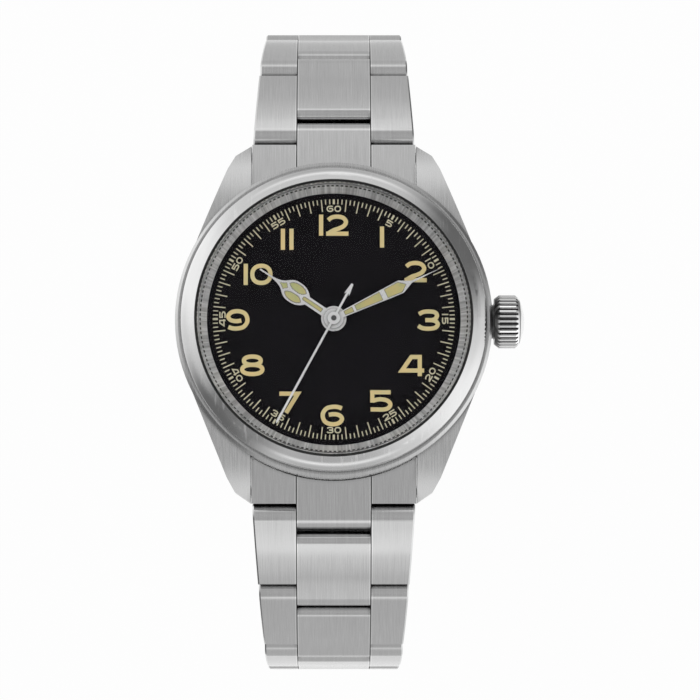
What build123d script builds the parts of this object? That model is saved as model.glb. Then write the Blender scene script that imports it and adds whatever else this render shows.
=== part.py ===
from build123d import *
import math
import os

os.makedirs("parts", exist_ok=True)

# A 38 mm field watch on a three-row steel bracelet with a folding clasp, closed as it is worn.
# Millimetres. +X is 3 o'clock, +Y is 12 o'clock, +Z rises out of the dial.
# The origin is the centre of the case back's flat outer face.

MM = 1
OVERRUN = 2 * MM

# Case
case_radius = 19.0 * MM
case_wall = 3.0 * MM
case_bottom = 0.9 * MM
case_top = 6.9 * MM
case_edge = 0.35 * MM
case_bore = case_radius - case_wall
back_ledge_width = 1.0 * MM
back_bore = case_bore - back_ledge_width
back_ledge = 2.0 * MM
neck_step = 1.8 * MM
neck_radius = case_radius - neck_step
neck_height = 0.7 * MM
ring_step = 0.5 * MM
ring_bore = case_bore + ring_step

# Lugs
lug_gap = 20.0 * MM
lug_overhang = 2.7 * MM
lug_reach = case_radius + lug_overhang
lug_tip_width = 2.2 * MM
lug_tip_bevel = 1.3 * MM
lug_shoulder_out = 2.85 * MM
lug_shoulder_in = 3.0 * MM
lug_root_inset = 1.95 * MM
lug_root_half_width = case_radius - lug_root_inset
lug_root_share = 0.437
lug_root_reach = case_radius * lug_root_share
lug_root_height = 5.4 * MM
lug_mid_inset = 5.3 * MM
lug_mid_reach = lug_reach - lug_mid_inset
lug_mid_height = 4.55 * MM
lug_tip_height = 2.1 * MM
lug_tip_bottom = 0.05 * MM
lug_heel_inset = 4.7 * MM
lug_heel_reach = lug_reach - lug_heel_inset
lug_edge = 0.3 * MM
bar_inset = 1.4 * MM
bar_reach = lug_reach - bar_inset
bar_radius = 0.75 * MM
bar_tip_radius = 0.4 * MM
bar_tip_length = 0.8 * MM
bar_clearance = 0.05 * MM

# Case back
back_flange_width = 0.9 * MM
back_flange = back_bore + back_flange_width
back_wall = 1.4 * MM
back_floor = 0.9 * MM
back_neck = 1.9 * MM
back_edge = 0.4 * MM
gasket_width = 0.5 * MM
gasket_drop = 0.3 * MM
back_notch_width = 2.4 * MM
back_notch_depth = 0.5 * MM
back_notch_length = 1.3 * MM
back_notches = 6

# Bezel, crystal and chapter ring
bezel_inset = 0.7 * MM
bezel_radius = case_radius - bezel_inset
bezel_side = 0.5 * MM
bezel_top = 8.9 * MM
bezel_lip = 0.3 * MM
bezel_bulge = 0.25 * MM
crystal_inset = 0.2 * MM
crystal_radius = ring_bore - crystal_inset
crystal_seat = 7.9 * MM
crystal_rim = 1.3 * MM
crystal_dome = 0.45 * MM
crystal_edge = 0.2 * MM
gasket_wall = 0.3 * MM
chapter_width = 1.4 * MM
chapter_inner = ring_bore - chapter_width
chapter_lip = 0.25 * MM

# Dial and hands
dial_play = 0.1 * MM
dial_radius = case_bore - dial_play
dial_top = 6.5 * MM
dial_thickness = 0.4 * MM
dial_hole = 1.35 * MM
hand_thickness = 0.15 * MM
hour_height = 6.8 * MM
minute_height = 7.15 * MM
second_height = 7.5 * MM
hour_angle = 304.1
minute_angle = 64.7
second_angle = 208.6
hour_length_share = 0.702
hour_length = chapter_inner * hour_length_share
hour_hub = 1.5 * MM
hour_head_shares = (
    (0.049, 0.358),
    (0.095, 0.41),
    (0.12, 0.472),
    (0.1245, 0.538),
    (0.117, 0.594),
    (0.086, 0.648),
    (0.049, 0.694),
    (0.0264, 0.743),
    (0.0142, 0.797),
    (0.0094, 0.849),
)
hour_tip_share = 0.0085
hour_neck_shares = ((0.0236, 0.16), (0.0236, 0.405), (0.0142, 0.42))
hour_lobe_end_shares = ((0.0604, 0.4085), (0.052, 0.634))
hour_lobe_inner_shares = ((0.017, 0.459), (0.0123, 0.528), (0.0226, 0.59))
hour_lobe_outer_shares = ((0.0896, 0.599), (0.1047, 0.538), (0.099, 0.467))
hour_cell_shares = ((0.0, 0.6208), (0.0434, 0.663), (0.024, 0.69), (0.0, 0.734))
minute_length_share = 0.932
minute_length = chapter_inner * minute_length_share
minute_hub = 1.16 * MM
minute_root = 0.62 * MM
minute_width = 1.63 * MM
minute_shoulder_share = 0.629
minute_shoulder = minute_length * minute_shoulder_share
minute_needle_share = 0.725
minute_needle_start = minute_length * minute_needle_share
minute_needle = 0.28 * MM
minute_frame = 0.25 * MM
minute_window_shares = ((0.0995, 0.181), (0.2025, 0.444), (0.487, 0.661))
second_length_share = 0.947
second_length = chapter_inner * second_length_share
second_hub = 0.74 * MM
second_needle = 0.26 * MM
second_tail_shares = ((0.009, 0.3245), (0.0245, 0.22), (0.0091, 0.241))

# Hand arbors
second_arbor = 0.3 * MM
cannon_bore = 0.38 * MM
cannon_radius = 0.62 * MM
hour_pipe_bore = 0.7 * MM
hour_pipe_radius = 0.95 * MM
arbor_stand = 0.08 * MM
hour_wheel_radius = 2.6 * MM
hour_wheel_thickness = 0.25 * MM

# Movement
holder_width = 3.2 * MM
plate_radius = case_bore - holder_width
plate_bottom = 4.6 * MM
plate_top = 5.9 * MM
holder_play = 0.05 * MM
bridge_bottom = 2.9 * MM
bridge_top = 3.9 * MM
bridge_margin = 0.5 * MM
running_gap = 0.15 * MM
barrel_share = 0.359375
barrel_radius = plate_radius * barrel_share
barrel_thickness = 1.2 * MM
barrel_place_shares = (0.4140625, 0.484375)
barrel_place = tuple(plate_radius * share for share in barrel_place_shares)
barrel_arbor = 0.8 * MM
train_share = 0.265625
train_radius = plate_radius * train_share
train_thickness = 0.3 * MM
train_place_shares = (-0.421875, 0.4375)
train_place = tuple(plate_radius * share for share in train_place_shares)
train_arbor = 0.35 * MM
balance_place_shares = (-0.359375, -0.40625)
balance_place = tuple(plate_radius * share for share in balance_place_shares)
balance_distance = math.hypot(*balance_place)
balance_rim = 0.6 * MM
balance_thickness = 0.4 * MM
balance_arm = 0.5 * MM
balance_staff = 0.3 * MM
balance_clear = 0.6 * MM
balance_post_gap = 0.15 * MM
cock_width = 3.4 * MM
cock_foot = plate_radius - bridge_margin
jewel_radius = 0.75 * MM
jewel_thickness = 0.35 * MM
pillar_radius = 0.9 * MM
balance_radius = cock_foot - pillar_radius * 2 - balance_post_gap - balance_distance
pillar_inset = 1.2 * MM
pillar_ring = plate_radius - pillar_inset
pillar_angles = (20, 90, 118, 340)
rotor_inset = 0.4 * MM
rotor_radius = plate_radius - rotor_inset
rotor_rim = 2.2 * MM
rotor_bottom = 1.3 * MM
rotor_top = 2.2 * MM
rotor_web = 0.35 * MM
rotor_hub = 2.2 * MM
rotor_bearing = 1.4 * MM

# Crown and stem
stem_height = 4.1 * MM
stem_radius = 0.6 * MM
stem_depth = 4.8 * MM
stem_inner = plate_radius - stem_depth
stem_channel = 0.12 * MM
groove_place = 0.7 * MM
groove_start = stem_inner + groove_place
groove_width = 0.5 * MM
groove_radius = 0.36 * MM
tube_radius = 2.05 * MM
tube_bore = 0.75 * MM
tube_lip = 0.05 * MM
tube_inner = case_bore - tube_lip
tube_stand = 0.75 * MM
crown_radius = 3.2 * MM
crown_gap = 0.25 * MM
crown_start = case_radius + crown_gap
crown_length = 3.0 * MM
crown_cap = 0.65 * MM
crown_edge = 0.45 * MM
crown_bore = 2.2 * MM
crown_bore_depth = 1.4 * MM
crown_seat = 0.7 * MM
crown_collar = 0.57 * MM
crown_flutes = 32
flute_radius = 0.2 * MM
yoke_width = 2.5 * MM
yoke_length = 0.35 * MM
yoke_thickness = 0.4 * MM

# Bracelet
link_pitch = 10.4 * MM
link_thickness = 3.2 * MM
link_rise = 0.28 * MM
long_edge_share = 0.9
link_gap = 0.25 * MM
link_center_width = 9.0 * MM
center_round = 1.1 * MM
tongue_play = 0.06 * MM
pin_radius = 0.6 * MM
pin_clearance = 0.05 * MM
rivet_radius = 0.5 * MM
link_edge = 0.18 * MM
pin_inset = 0.3 * MM
end_width = 19.8 * MM
last_width = 16.0 * MM
width_taper_shares = (1.0, 0.62, 0.3, 0.16, 0.08, 0.03, 0.0, 0.0)
end_link_play = 0.12 * MM
groove_line = 0.14 * MM
groove_depth = 0.3 * MM
hinge_stand = 1.5 * MM
hinge_reach = lug_reach + hinge_stand
hinge_drop = 5.9 * MM
end_tilt = 14.6
tilts_12 = (30.5, 62, 99, 108, 123, 142)
tilts_6 = (30, 54.5, 82, 95, 118)

# Clasp, measured along it from the 12 side end and inward from its outer face
clasp_shortfall = 9.4 * MM
clasp_length = lug_reach * 2 - clasp_shortfall
clasp_floor = 1.1 * MM
clasp_wall = 1.0 * MM
clasp_height = 5.2 * MM
clasp_play = 0.2 * MM
clasp_round = 1.2 * MM
clasp_bar_place = 3.0 * MM
clasp_bar_height = 2.95 * MM
adjust_pitch = 2.2 * MM
adjust_holes = 4
adjust_radius = 0.45 * MM
blade_width = 12.4 * MM
blade_thickness = 1.0 * MM
outer_hinge_inset = 2.1 * MM
outer_hinge_place = clasp_length - outer_hinge_inset
outer_hinge_height = 2.5 * MM
middle_hinge_place = 8.0 * MM
middle_hinge_height = 3.1 * MM
end_hinge_stand = 2.3 * MM
end_hinge_place = clasp_length + end_hinge_stand
end_hinge_height = 3.9 * MM
knuckle_radius = 1.1 * MM
hinge_pin_radius = 0.45 * MM
knuckle_width = 5.0 * MM
knuckle_play = 0.12 * MM
middle_blade_height = 2.5 * MM
inner_blade_height = 4.3 * MM
window_share = 0.55
end_knuckle_play = 0.7 * MM
end_knuckle_width = link_center_width - end_knuckle_play * 2
end_neck = 5.2 * MM
bar_pull = 0.25 * MM
button_length = 6.0 * MM
button_height = 1.9 * MM
button_place = 12.2 * MM
button_level = 2.95 * MM
button_stand = 0.7 * MM
button_flange = 0.5 * MM
button_lip = 0.45 * MM
button_play = 0.08 * MM


def save(piece, name):
    piece.label = name
    export_step(piece, f"parts/{name}.step")


def save_group(pieces, name):
    save(Compound(label=name, children=pieces), name)


def ring_points(inner, outer, bottom, top):
    return [(inner, bottom), (outer, bottom), (outer, top), (inner, top)]


def turned(outline):
    """A solid turned about the Z axis from (radius, height) corners."""
    with BuildPart() as body:
        with BuildSketch(Plane.XZ):
            with BuildLine():
                Polyline(*outline, close=True)
            make_face()
        revolve(axis=Axis.Z)
    return body.part


# Case middle: turned body, four lugs, neck for the bezel, stepped bore
def lug_plan():
    inner = lug_gap / 2
    tip = inner + lug_tip_width
    return [
        (inner, 0),
        (inner, lug_reach),
        (tip - lug_edge, lug_reach - lug_tip_bevel),
        (inner + lug_shoulder_out, lug_reach - lug_shoulder_in),
        (lug_root_half_width, lug_root_reach),
        (lug_root_half_width, 0),
    ]


hinge_height = dial_top - hinge_drop
bar_height = hinge_height + (hinge_reach - bar_reach) * math.tan(math.radians(end_tilt))

with BuildPart() as case_middle:
    with BuildSketch(Plane.XY.offset(lug_tip_bottom - OVERRUN)):
        with BuildLine():
            Polyline(*lug_plan(), close=True)
        make_face()
        mirror(about=Plane.YZ)
        mirror(about=Plane.XZ)
    extrude(amount=case_top + OVERRUN)
    with BuildSketch(Plane.YZ) as lug_side:
        with BuildLine():
            Line((0, case_bottom), (0, lug_root_height))
            Line((0, lug_root_height), (lug_root_reach, lug_root_height))
            ThreePointArc(
                (lug_root_reach, lug_root_height),
                (lug_mid_reach, lug_mid_height),
                (lug_reach, lug_tip_height),
            )
            Line((lug_reach, lug_tip_height), (lug_reach, lug_tip_bottom))
            Line((lug_reach, lug_tip_bottom), (lug_heel_reach, case_bottom))
            Line((lug_heel_reach, case_bottom), (0, case_bottom))
        make_face()
        mirror(about=Plane.YZ)
    extrude(amount=case_radius, both=True, mode=Mode.INTERSECT)
    with BuildSketch(Plane.XZ):
        with BuildLine():
            Polyline(
                (0, case_bottom),
                (case_radius - case_edge, case_bottom),
                (case_radius, case_bottom + case_edge),
                (case_radius, case_top - case_edge),
                (case_radius - case_edge, case_top),
                (neck_radius, case_top),
                (neck_radius, case_top + neck_height),
                (0, case_top + neck_height),
                close=True,
            )
        make_face()
    revolve(axis=Axis.Z)
    with BuildSketch(Plane.XZ):
        with BuildLine():
            Polyline(
                (0, case_bottom - OVERRUN),
                (back_flange, case_bottom - OVERRUN),
                (back_flange, back_wall),
                (back_bore, back_wall),
                (back_bore, back_ledge),
                (case_bore, back_ledge),
                (case_bore, dial_top),
                (ring_bore, dial_top),
                (ring_bore, bezel_top),
                (0, bezel_top),
                close=True,
            )
        make_face()
    revolve(axis=Axis.Z, mode=Mode.SUBTRACT)
    with BuildSketch(Plane.YZ.offset(case_bore - OVERRUN)):
        with Locations((0, stem_height)):
            Circle(tube_radius)
    extrude(amount=case_radius, mode=Mode.SUBTRACT)
    bar_hole_half = lug_gap / 2 + bar_tip_length
    for side in (1, -1):
        with BuildSketch(Plane.YZ):
            with Locations((side * bar_reach, bar_height)):
                Circle(bar_tip_radius + bar_clearance)
        extrude(amount=bar_hole_half, both=True, mode=Mode.SUBTRACT)
save(case_middle.part, "case_middle")

# Screw-down case back with six key notches, and its gasket
with BuildPart() as case_back:
    with BuildSketch(Plane.XZ):
        with BuildLine():
            Polyline(
                (0, 0),
                (back_flange - back_edge - holder_play, 0),
                (back_flange - holder_play, back_edge),
                (back_flange - holder_play, back_wall),
                (back_bore - holder_play, back_wall),
                (back_bore - holder_play, back_neck),
                (back_bore - back_wall, back_neck),
                (back_bore - back_wall, back_floor),
                (0, back_floor),
                close=True,
            )
        make_face()
    revolve(axis=Axis.Z)
    with BuildSketch(Plane.XY):
        with PolarLocations(back_flange - holder_play, back_notches):
            Rectangle(back_notch_length * 2, back_notch_width)
    extrude(amount=back_notch_depth, mode=Mode.SUBTRACT)
    seal_radius = back_bore + gasket_width / 2
    with BuildSketch(Plane.XY.offset(back_wall)):
        Circle(seal_radius + gasket_width / 2)
        Circle(seal_radius - gasket_width / 2, mode=Mode.SUBTRACT)
    extrude(amount=-gasket_drop, mode=Mode.SUBTRACT)
save(case_back.part, "case_back")

save(
    turned(ring_points(back_bore, back_bore + gasket_width, back_wall - gasket_drop, back_wall)),
    "case_back_gasket",
)

# Bezel: polished ring with a gently bulged slope, pressed on the case neck
with BuildPart() as bezel:
    slope_foot = (bezel_radius, case_top + bezel_side)
    slope_head = (ring_bore + gasket_wall + bezel_lip, bezel_top)
    slope_middle = (
        (slope_foot[0] + slope_head[0]) / 2 + bezel_bulge,
        (slope_foot[1] + slope_head[1]) / 2 + bezel_bulge,
    )
    gasket_outer = crystal_radius + gasket_wall
    with BuildSketch(Plane.XZ):
        with BuildLine():
            Polyline((neck_radius, case_top), (bezel_radius, case_top), slope_foot)
            ThreePointArc(slope_foot, slope_middle, slope_head)
            Polyline(
                slope_head,
                (gasket_outer, bezel_top),
                (gasket_outer, case_top + neck_height),
                (neck_radius, case_top + neck_height),
                (neck_radius, case_top),
            )
        make_face()
    revolve(axis=Axis.Z)
save(bezel.part, "bezel")

# Domed crystal and its gasket
def dome_arc_middle(radius, rise):
    """Distance below the crown of a dome at half its radius."""
    sphere = (radius**2 + rise**2) / (2 * rise)
    return sphere - math.sqrt(sphere**2 - (radius / 2) ** 2)


with BuildPart() as crystal:
    crystal_shoulder = crystal_seat + crystal_rim
    crystal_crown = crystal_shoulder + crystal_dome
    dome_radius = crystal_radius - crystal_edge
    with BuildSketch(Plane.XZ):
        with BuildLine():
            Polyline(
                (0, crystal_crown),
                (0, crystal_seat),
                (crystal_radius, crystal_seat),
                (crystal_radius, crystal_shoulder - crystal_edge),
                (dome_radius, crystal_shoulder),
            )
            ThreePointArc(
                (dome_radius, crystal_shoulder),
                (dome_radius / 2, crystal_crown - dome_arc_middle(dome_radius, crystal_dome)),
                (0, crystal_crown),
            )
        make_face()
    revolve(axis=Axis.Z)
save(crystal.part, "crystal")

save(
    turned(ring_points(crystal_radius, gasket_outer, crystal_seat, bezel_top - bezel_lip)),
    "crystal_gasket",
)

# Chapter ring: brushed cone between dial and crystal
save(
    turned(
        [
            (chapter_inner, dial_top),
            (ring_bore, dial_top),
            (ring_bore, case_top + neck_height),
            (crystal_radius, case_top + neck_height),
            (crystal_radius, crystal_seat),
            (crystal_radius - chapter_lip, crystal_seat),
            (chapter_inner, dial_top + chapter_lip),
        ]
    ),
    "chapter_ring",
)

# Dial
save(turned(ring_points(dial_hole, dial_radius, dial_top - dial_thickness, dial_top)), "dial")


# Hands: each is drawn pointing to 12 on its own plane and turned to its hour
def hand_plane(height, angle):
    return Plane(
        origin=(0, 0, height),
        x_dir=(math.cos(math.radians(angle)), -math.sin(math.radians(angle)), 0),
        z_dir=(0, 0, 1),
    )


hour_plane = hand_plane(hour_height, hour_angle)
minute_plane = hand_plane(minute_height, minute_angle)
second_plane = hand_plane(second_height, second_angle)


def save_hand(outline, name, plane, hub, bore, windows, lume_name):
    with BuildPart() as hand:
        with BuildSketch(plane):
            add(outline)
            Circle(hub)
            Circle(bore, mode=Mode.SUBTRACT)
            for window in windows:
                add(window, mode=Mode.SUBTRACT)
        extrude(amount=hand_thickness)
    save(hand.part, name)
    if windows:
        with BuildPart() as lume:
            with BuildSketch(plane):
                for window in windows:
                    add(window)
            extrude(amount=hand_thickness)
        save(lume.part, lume_name)


def sized(shares, length, side=1):
    return [(side * across_share * length, along_share * length) for across_share, along_share in shares]


def straight_shape(half_outline):
    """A flat shape with straight sides, from its half to the right of the middle."""
    other_half = [(-x, y) for x, y in reversed(half_outline) if x != 0]
    with BuildSketch() as shape:
        with BuildLine():
            Polyline(*half_outline, *other_half, close=True)
        make_face()
    return shape.sketch


def hour_shape():
    """Straight neck, a head drawn by a smooth curve, and a fine needle."""
    head = sized(hour_head_shares, hour_length)
    with BuildSketch() as shape:
        with BuildLine():
            Polyline((0, 0), (head[0][0], 0), head[0])
            Spline(*head)
            Polyline(head[-1], (hour_tip_share * hour_length, hour_length), (0, hour_length), (0, 0))
        make_face()
        mirror(about=Plane.YZ)
    return shape.sketch


def lobe_shape(side):
    """A leaf with a curve on each side between its two points."""
    near, far = sized(hour_lobe_end_shares, hour_length, side)
    with BuildSketch() as shape:
        with BuildLine():
            Spline(near, *sized(hour_lobe_inner_shares, hour_length, side), far)
            Spline(far, *sized(hour_lobe_outer_shares, hour_length, side), near)
        make_face()
    return shape.sketch


save_hand(
    hour_shape(),
    "hour_hand",
    hour_plane,
    hour_hub,
    hour_pipe_radius,
    [
        straight_shape(sized(hour_neck_shares, hour_length)),
        lobe_shape(1),
        lobe_shape(-1),
        straight_shape(sized(hour_cell_shares, hour_length)),
    ],
    "hour_hand_lume",
)


def minute_half(distance):
    share = min(distance / minute_shoulder, 1)
    return (minute_root + (minute_width - minute_root) * share) / 2


minute_windows = sized(minute_window_shares, minute_length)
minute_hand_outline = straight_shape(
    [
        (minute_root / 2, 0),
        (minute_width / 2, minute_shoulder),
        (minute_needle / 2, minute_needle_start),
        (0, minute_length),
    ]
)
minute_lume = [
    straight_shape(
        [(minute_half(low) - minute_frame / 2, low), (minute_half(high) - minute_frame / 2, high)]
    )
    for low, high in minute_windows[:2]
]
tip_low, tip_high = minute_windows[2]
minute_lume.append(
    straight_shape(
        [
            (minute_half(tip_low) - minute_frame / 2, tip_low),
            (minute_width / 2 - minute_frame / 2, minute_shoulder - minute_frame / 2),
            (0, tip_high + minute_frame),
        ]
    )
)
save_hand(
    minute_hand_outline,
    "minute_hand",
    minute_plane,
    minute_hub,
    cannon_radius,
    minute_lume,
    "minute_hand_lume",
)

second_tail = [(x, -y) for x, y in sized(second_tail_shares, second_length)]
second_hand_outline = straight_shape(
    second_tail
    + [(second_needle / 2, 0), (second_needle / 2, second_length - second_needle), (0, second_length)]
)
save_hand(second_hand_outline, "second_hand", second_plane, second_hub, second_arbor, [], "")


# Arbors that carry the hands, one pipe inside the next
def pipe(inner, outer, bottom, top):
    return turned(ring_points(inner, outer, bottom, top))


hour_wheel_bottom = plate_top - hour_wheel_thickness - running_gap
with BuildPart() as hour_wheel:
    with BuildSketch(Plane.XY.offset(hour_wheel_bottom)):
        Circle(hour_wheel_radius)
        Circle(hour_pipe_bore, mode=Mode.SUBTRACT)
    extrude(amount=hour_wheel_thickness)
    with BuildSketch(Plane.XY.offset(hour_wheel_bottom)):
        Circle(hour_pipe_radius)
        Circle(hour_pipe_bore, mode=Mode.SUBTRACT)
    extrude(amount=hour_height + hand_thickness + arbor_stand - hour_wheel_bottom)
save(hour_wheel.part, "hour_wheel")
save(
    pipe(cannon_bore, cannon_radius, plate_bottom, minute_height + hand_thickness + arbor_stand),
    "cannon_pinion",
)
with BuildPart() as second_post:
    with BuildSketch(Plane.XY.offset(bridge_top + running_gap)):
        Circle(second_arbor)
    extrude(amount=second_height + hand_thickness + arbor_stand - bridge_top - running_gap)
save(second_post.part, "second_arbor")

# Movement holder: plastic ring between movement, case ledge and dial
with BuildPart() as movement_holder:
    with BuildSketch(Plane.XY.offset(back_ledge)):
        Circle(case_bore - holder_play)
        Circle(plate_radius + holder_play, mode=Mode.SUBTRACT)
    extrude(amount=dial_top - dial_thickness - back_ledge)
    with BuildSketch(Plane.YZ.offset(stem_inner)):
        with Locations((0, stem_height)):
            Circle(tube_radius)
    extrude(amount=case_radius, mode=Mode.SUBTRACT)
save(movement_holder.part, "movement_holder")

# Main plate with pockets for the barrel, train wheel, balance, hour wheel and stem
with BuildPart() as main_plate:
    with BuildSketch(Plane.XY.offset(plate_bottom)):
        Circle(plate_radius)
        Circle(cannon_radius + running_gap, mode=Mode.SUBTRACT)
    extrude(amount=plate_top - plate_bottom)
    with BuildSketch(Plane.XY.offset(hour_wheel_bottom - running_gap)):
        Circle(hour_wheel_radius + running_gap * 2)
    extrude(amount=plate_top, mode=Mode.SUBTRACT)
    barrel_bottom = bridge_top + running_gap
    with BuildSketch(Plane.XY.offset(barrel_bottom)):
        with Locations(barrel_place):
            Circle(barrel_radius + running_gap)
    extrude(amount=barrel_thickness + running_gap, mode=Mode.SUBTRACT)
    with BuildSketch(Plane.YZ.offset(stem_inner - OVERRUN / 2)):
        with Locations((0, stem_height)):
            Circle(stem_radius + stem_channel)
    extrude(amount=plate_radius, mode=Mode.SUBTRACT)
    pillar_points = [
        (pillar_ring * math.cos(math.radians(a)), pillar_ring * math.sin(math.radians(a)))
        for a in pillar_angles
    ]
save(main_plate.part, "main_plate")

# Train bridge: half plate on pillars, cut away over the balance and the stem
balance_x, balance_y = balance_place
with BuildPart() as train_bridge:
    with BuildSketch(Plane.XY.offset(bridge_bottom)):
        Circle(plate_radius - bridge_margin)
        with Locations(balance_place):
            Circle(balance_radius + balance_clear * 2, mode=Mode.SUBTRACT)
        with Locations((balance_x * 2, balance_y * 2)):
            Circle(balance_radius + balance_clear * 2 + cock_width, mode=Mode.SUBTRACT)
        Circle(rotor_bearing, mode=Mode.SUBTRACT)
    extrude(amount=bridge_top - bridge_bottom)
    with BuildSketch(Plane.XY.offset(bridge_top)):
        with Locations(*pillar_points):
            Circle(pillar_radius)
    extrude(amount=plate_bottom - bridge_top)
    with BuildSketch(Plane.YZ.offset(stem_inner - OVERRUN / 2)):
        with Locations((0, stem_height)):
            Circle(stem_radius + stem_channel)
    extrude(amount=plate_radius, mode=Mode.SUBTRACT)
save(train_bridge.part, "train_bridge")

# Mainspring barrel and train wheel between bridge and plate
with BuildPart() as barrel:
    with BuildSketch(Plane.XY.offset(barrel_bottom)):
        with Locations(barrel_place):
            Circle(barrel_radius)
    extrude(amount=barrel_thickness)
    with BuildSketch(Plane.XY.offset(bridge_top)):
        with Locations(barrel_place):
            Circle(barrel_arbor)
    extrude(amount=running_gap)
save(barrel.part, "mainspring_barrel")

with BuildPart() as train_wheel:
    with BuildSketch(Plane.XY.offset(bridge_top + running_gap)):
        with Locations(train_place):
            Circle(train_radius)
            with PolarLocations(train_radius / 2, 4):
                Circle(train_radius / 4, mode=Mode.SUBTRACT)
    extrude(amount=train_thickness)
    with BuildSketch(Plane.XY.offset(bridge_top)):
        with Locations(train_place):
            Circle(train_arbor)
    extrude(amount=plate_bottom - bridge_top)
save(train_wheel.part, "train_wheel")

# Balance wheel on its staff, and the cock that carries its upper pivot
balance_bottom = bridge_top + running_gap
with BuildPart() as balance_wheel:
    with BuildSketch(Plane.XY.offset(balance_bottom)):
        with Locations(balance_place):
            Circle(balance_radius)
            Circle(balance_radius - balance_rim, mode=Mode.SUBTRACT)
            Rectangle(balance_radius * 2 - balance_rim, balance_arm)
            Circle(balance_arm)
    extrude(amount=balance_thickness)
    with BuildSketch(Plane.XY.offset(bridge_top - jewel_thickness)):
        with Locations(balance_place):
            Circle(balance_staff)
    extrude(amount=plate_bottom - bridge_top + jewel_thickness)
save(balance_wheel.part, "balance_wheel")

with BuildPart() as balance_cock:
    cock_plane = Plane(
        origin=(0, 0, bridge_bottom),
        x_dir=(balance_x, balance_y, 0),
        z_dir=(0, 0, 1),
    )
    with BuildSketch(cock_plane):
        with BuildLine():
            half = cock_width / 2
            ThreePointArc(
                (balance_distance, half), (balance_distance - half, 0), (balance_distance, -half)
            )
            Line((balance_distance, -half), (cock_foot - half / 2, -half))
            ThreePointArc(
                (cock_foot - half / 2, -half), (cock_foot, 0), (cock_foot - half / 2, half)
            )
            Line((cock_foot - half / 2, half), (balance_distance, half))
        make_face()
        with Locations((balance_distance, 0)):
            Circle(jewel_radius, mode=Mode.SUBTRACT)
    extrude(amount=bridge_top - bridge_bottom)
    with BuildSketch(cock_plane.offset(bridge_top - bridge_bottom)):
        with Locations((cock_foot - pillar_radius, 0)):
            Circle(pillar_radius - holder_play)
    extrude(amount=plate_bottom - bridge_top)
save(balance_cock.part, "balance_cock")

with BuildPart() as balance_jewel:
    with BuildSketch(Plane.XY.offset(bridge_bottom)):
        with Locations(balance_place):
            Circle(jewel_radius)
    extrude(amount=bridge_top - bridge_bottom)
    with BuildSketch(Plane.XY.offset(bridge_top - jewel_thickness)):
        with Locations(balance_place):
            Circle(balance_staff + holder_play)
    extrude(amount=jewel_thickness, mode=Mode.SUBTRACT)
save(balance_jewel.part, "balance_jewel")

# Winding rotor: half disc with a heavy rim, on a ball bearing at the centre
with BuildPart() as rotor:
    with BuildSketch(Plane.XY.offset(rotor_top - rotor_web)):
        with BuildLine():
            CenterArc((0, 0), rotor_radius, 180, 180)
            Line((-rotor_radius, 0), (rotor_radius, 0))
        make_face()
        Circle(rotor_hub)
        Circle(rotor_bearing + holder_play, mode=Mode.SUBTRACT)
    extrude(amount=rotor_web)
    with BuildSketch(Plane.XY.offset(rotor_bottom)):
        with BuildLine():
            CenterArc((0, 0), rotor_radius, 180, 180)
            Line((-rotor_radius, 0), (-rotor_radius + rotor_rim, 0))
            CenterArc((0, 0), rotor_radius - rotor_rim, 180, 180)
            Line((rotor_radius - rotor_rim, 0), (rotor_radius, 0))
        make_face()
    extrude(amount=rotor_top - rotor_web - rotor_bottom)
save(rotor.part, "rotor")

with BuildPart() as bearing:
    with BuildSketch(Plane.XY.offset(rotor_top - rotor_web)):
        Circle(rotor_bearing)
    extrude(amount=bridge_top - rotor_top + rotor_web)
save(bearing.part, "rotor_bearing")

# Crown tube, crown, stem and the yoke that holds the stem in either position
with BuildPart() as crown_tube:
    with BuildSketch(Plane.YZ.offset(tube_inner)):
        with Locations((0, stem_height)):
            Circle(tube_radius)
            Circle(tube_bore, mode=Mode.SUBTRACT)
    extrude(amount=case_radius + tube_stand - tube_inner)
save(crown_tube.part, "crown_tube")

crown_end = crown_start + crown_length
cap_radius = crown_radius - crown_edge
with BuildPart() as crown:
    with BuildSketch(Plane.XZ):
        with BuildLine():
            Polyline(
                (crown_start, stem_height),
                (crown_start, stem_height + crown_radius - crown_edge),
                (crown_start + crown_collar, stem_height + crown_radius),
                (crown_end - crown_edge, stem_height + crown_radius),
                (crown_end, stem_height + crown_radius - crown_edge),
            )
            ThreePointArc(
                (crown_end, stem_height + cap_radius),
                (
                    crown_end + crown_cap - dome_arc_middle(cap_radius, crown_cap),
                    stem_height + cap_radius / 2,
                ),
                (crown_end + crown_cap, stem_height),
            )
            Line((crown_end + crown_cap, stem_height), (crown_start, stem_height))
        make_face()
    revolve(axis=Axis((0, 0, stem_height), (1, 0, 0)))
    with BuildSketch(Plane.YZ.offset(crown_start)):
        with Locations((0, stem_height)):
            Circle(crown_bore)
    extrude(amount=crown_bore_depth, mode=Mode.SUBTRACT)
    with BuildSketch(Plane.YZ.offset(crown_start + crown_collar)):
        with Locations((0, stem_height)):
            with PolarLocations(crown_radius, crown_flutes):
                Circle(flute_radius)
    extrude(amount=crown_length - crown_collar - crown_edge / 2, mode=Mode.SUBTRACT)
    with BuildSketch(Plane.YZ.offset(crown_start + crown_bore_depth)):
        with Locations((0, stem_height)):
            Circle(stem_radius)
    extrude(amount=crown_seat, mode=Mode.SUBTRACT)
save(crown.part, "crown")

with BuildPart() as winding_stem:
    with BuildSketch(Plane.YZ.offset(stem_inner)):
        with Locations((0, stem_height)):
            Circle(stem_radius)
    extrude(amount=crown_start + crown_bore_depth + crown_seat - stem_inner)
    with BuildSketch(Plane.YZ.offset(groove_start)):
        with Locations((0, stem_height)):
            Circle(stem_radius + OVERRUN)
            Circle(groove_radius, mode=Mode.SUBTRACT)
    extrude(amount=groove_width, mode=Mode.SUBTRACT)
save(winding_stem.part, "winding_stem")

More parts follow.
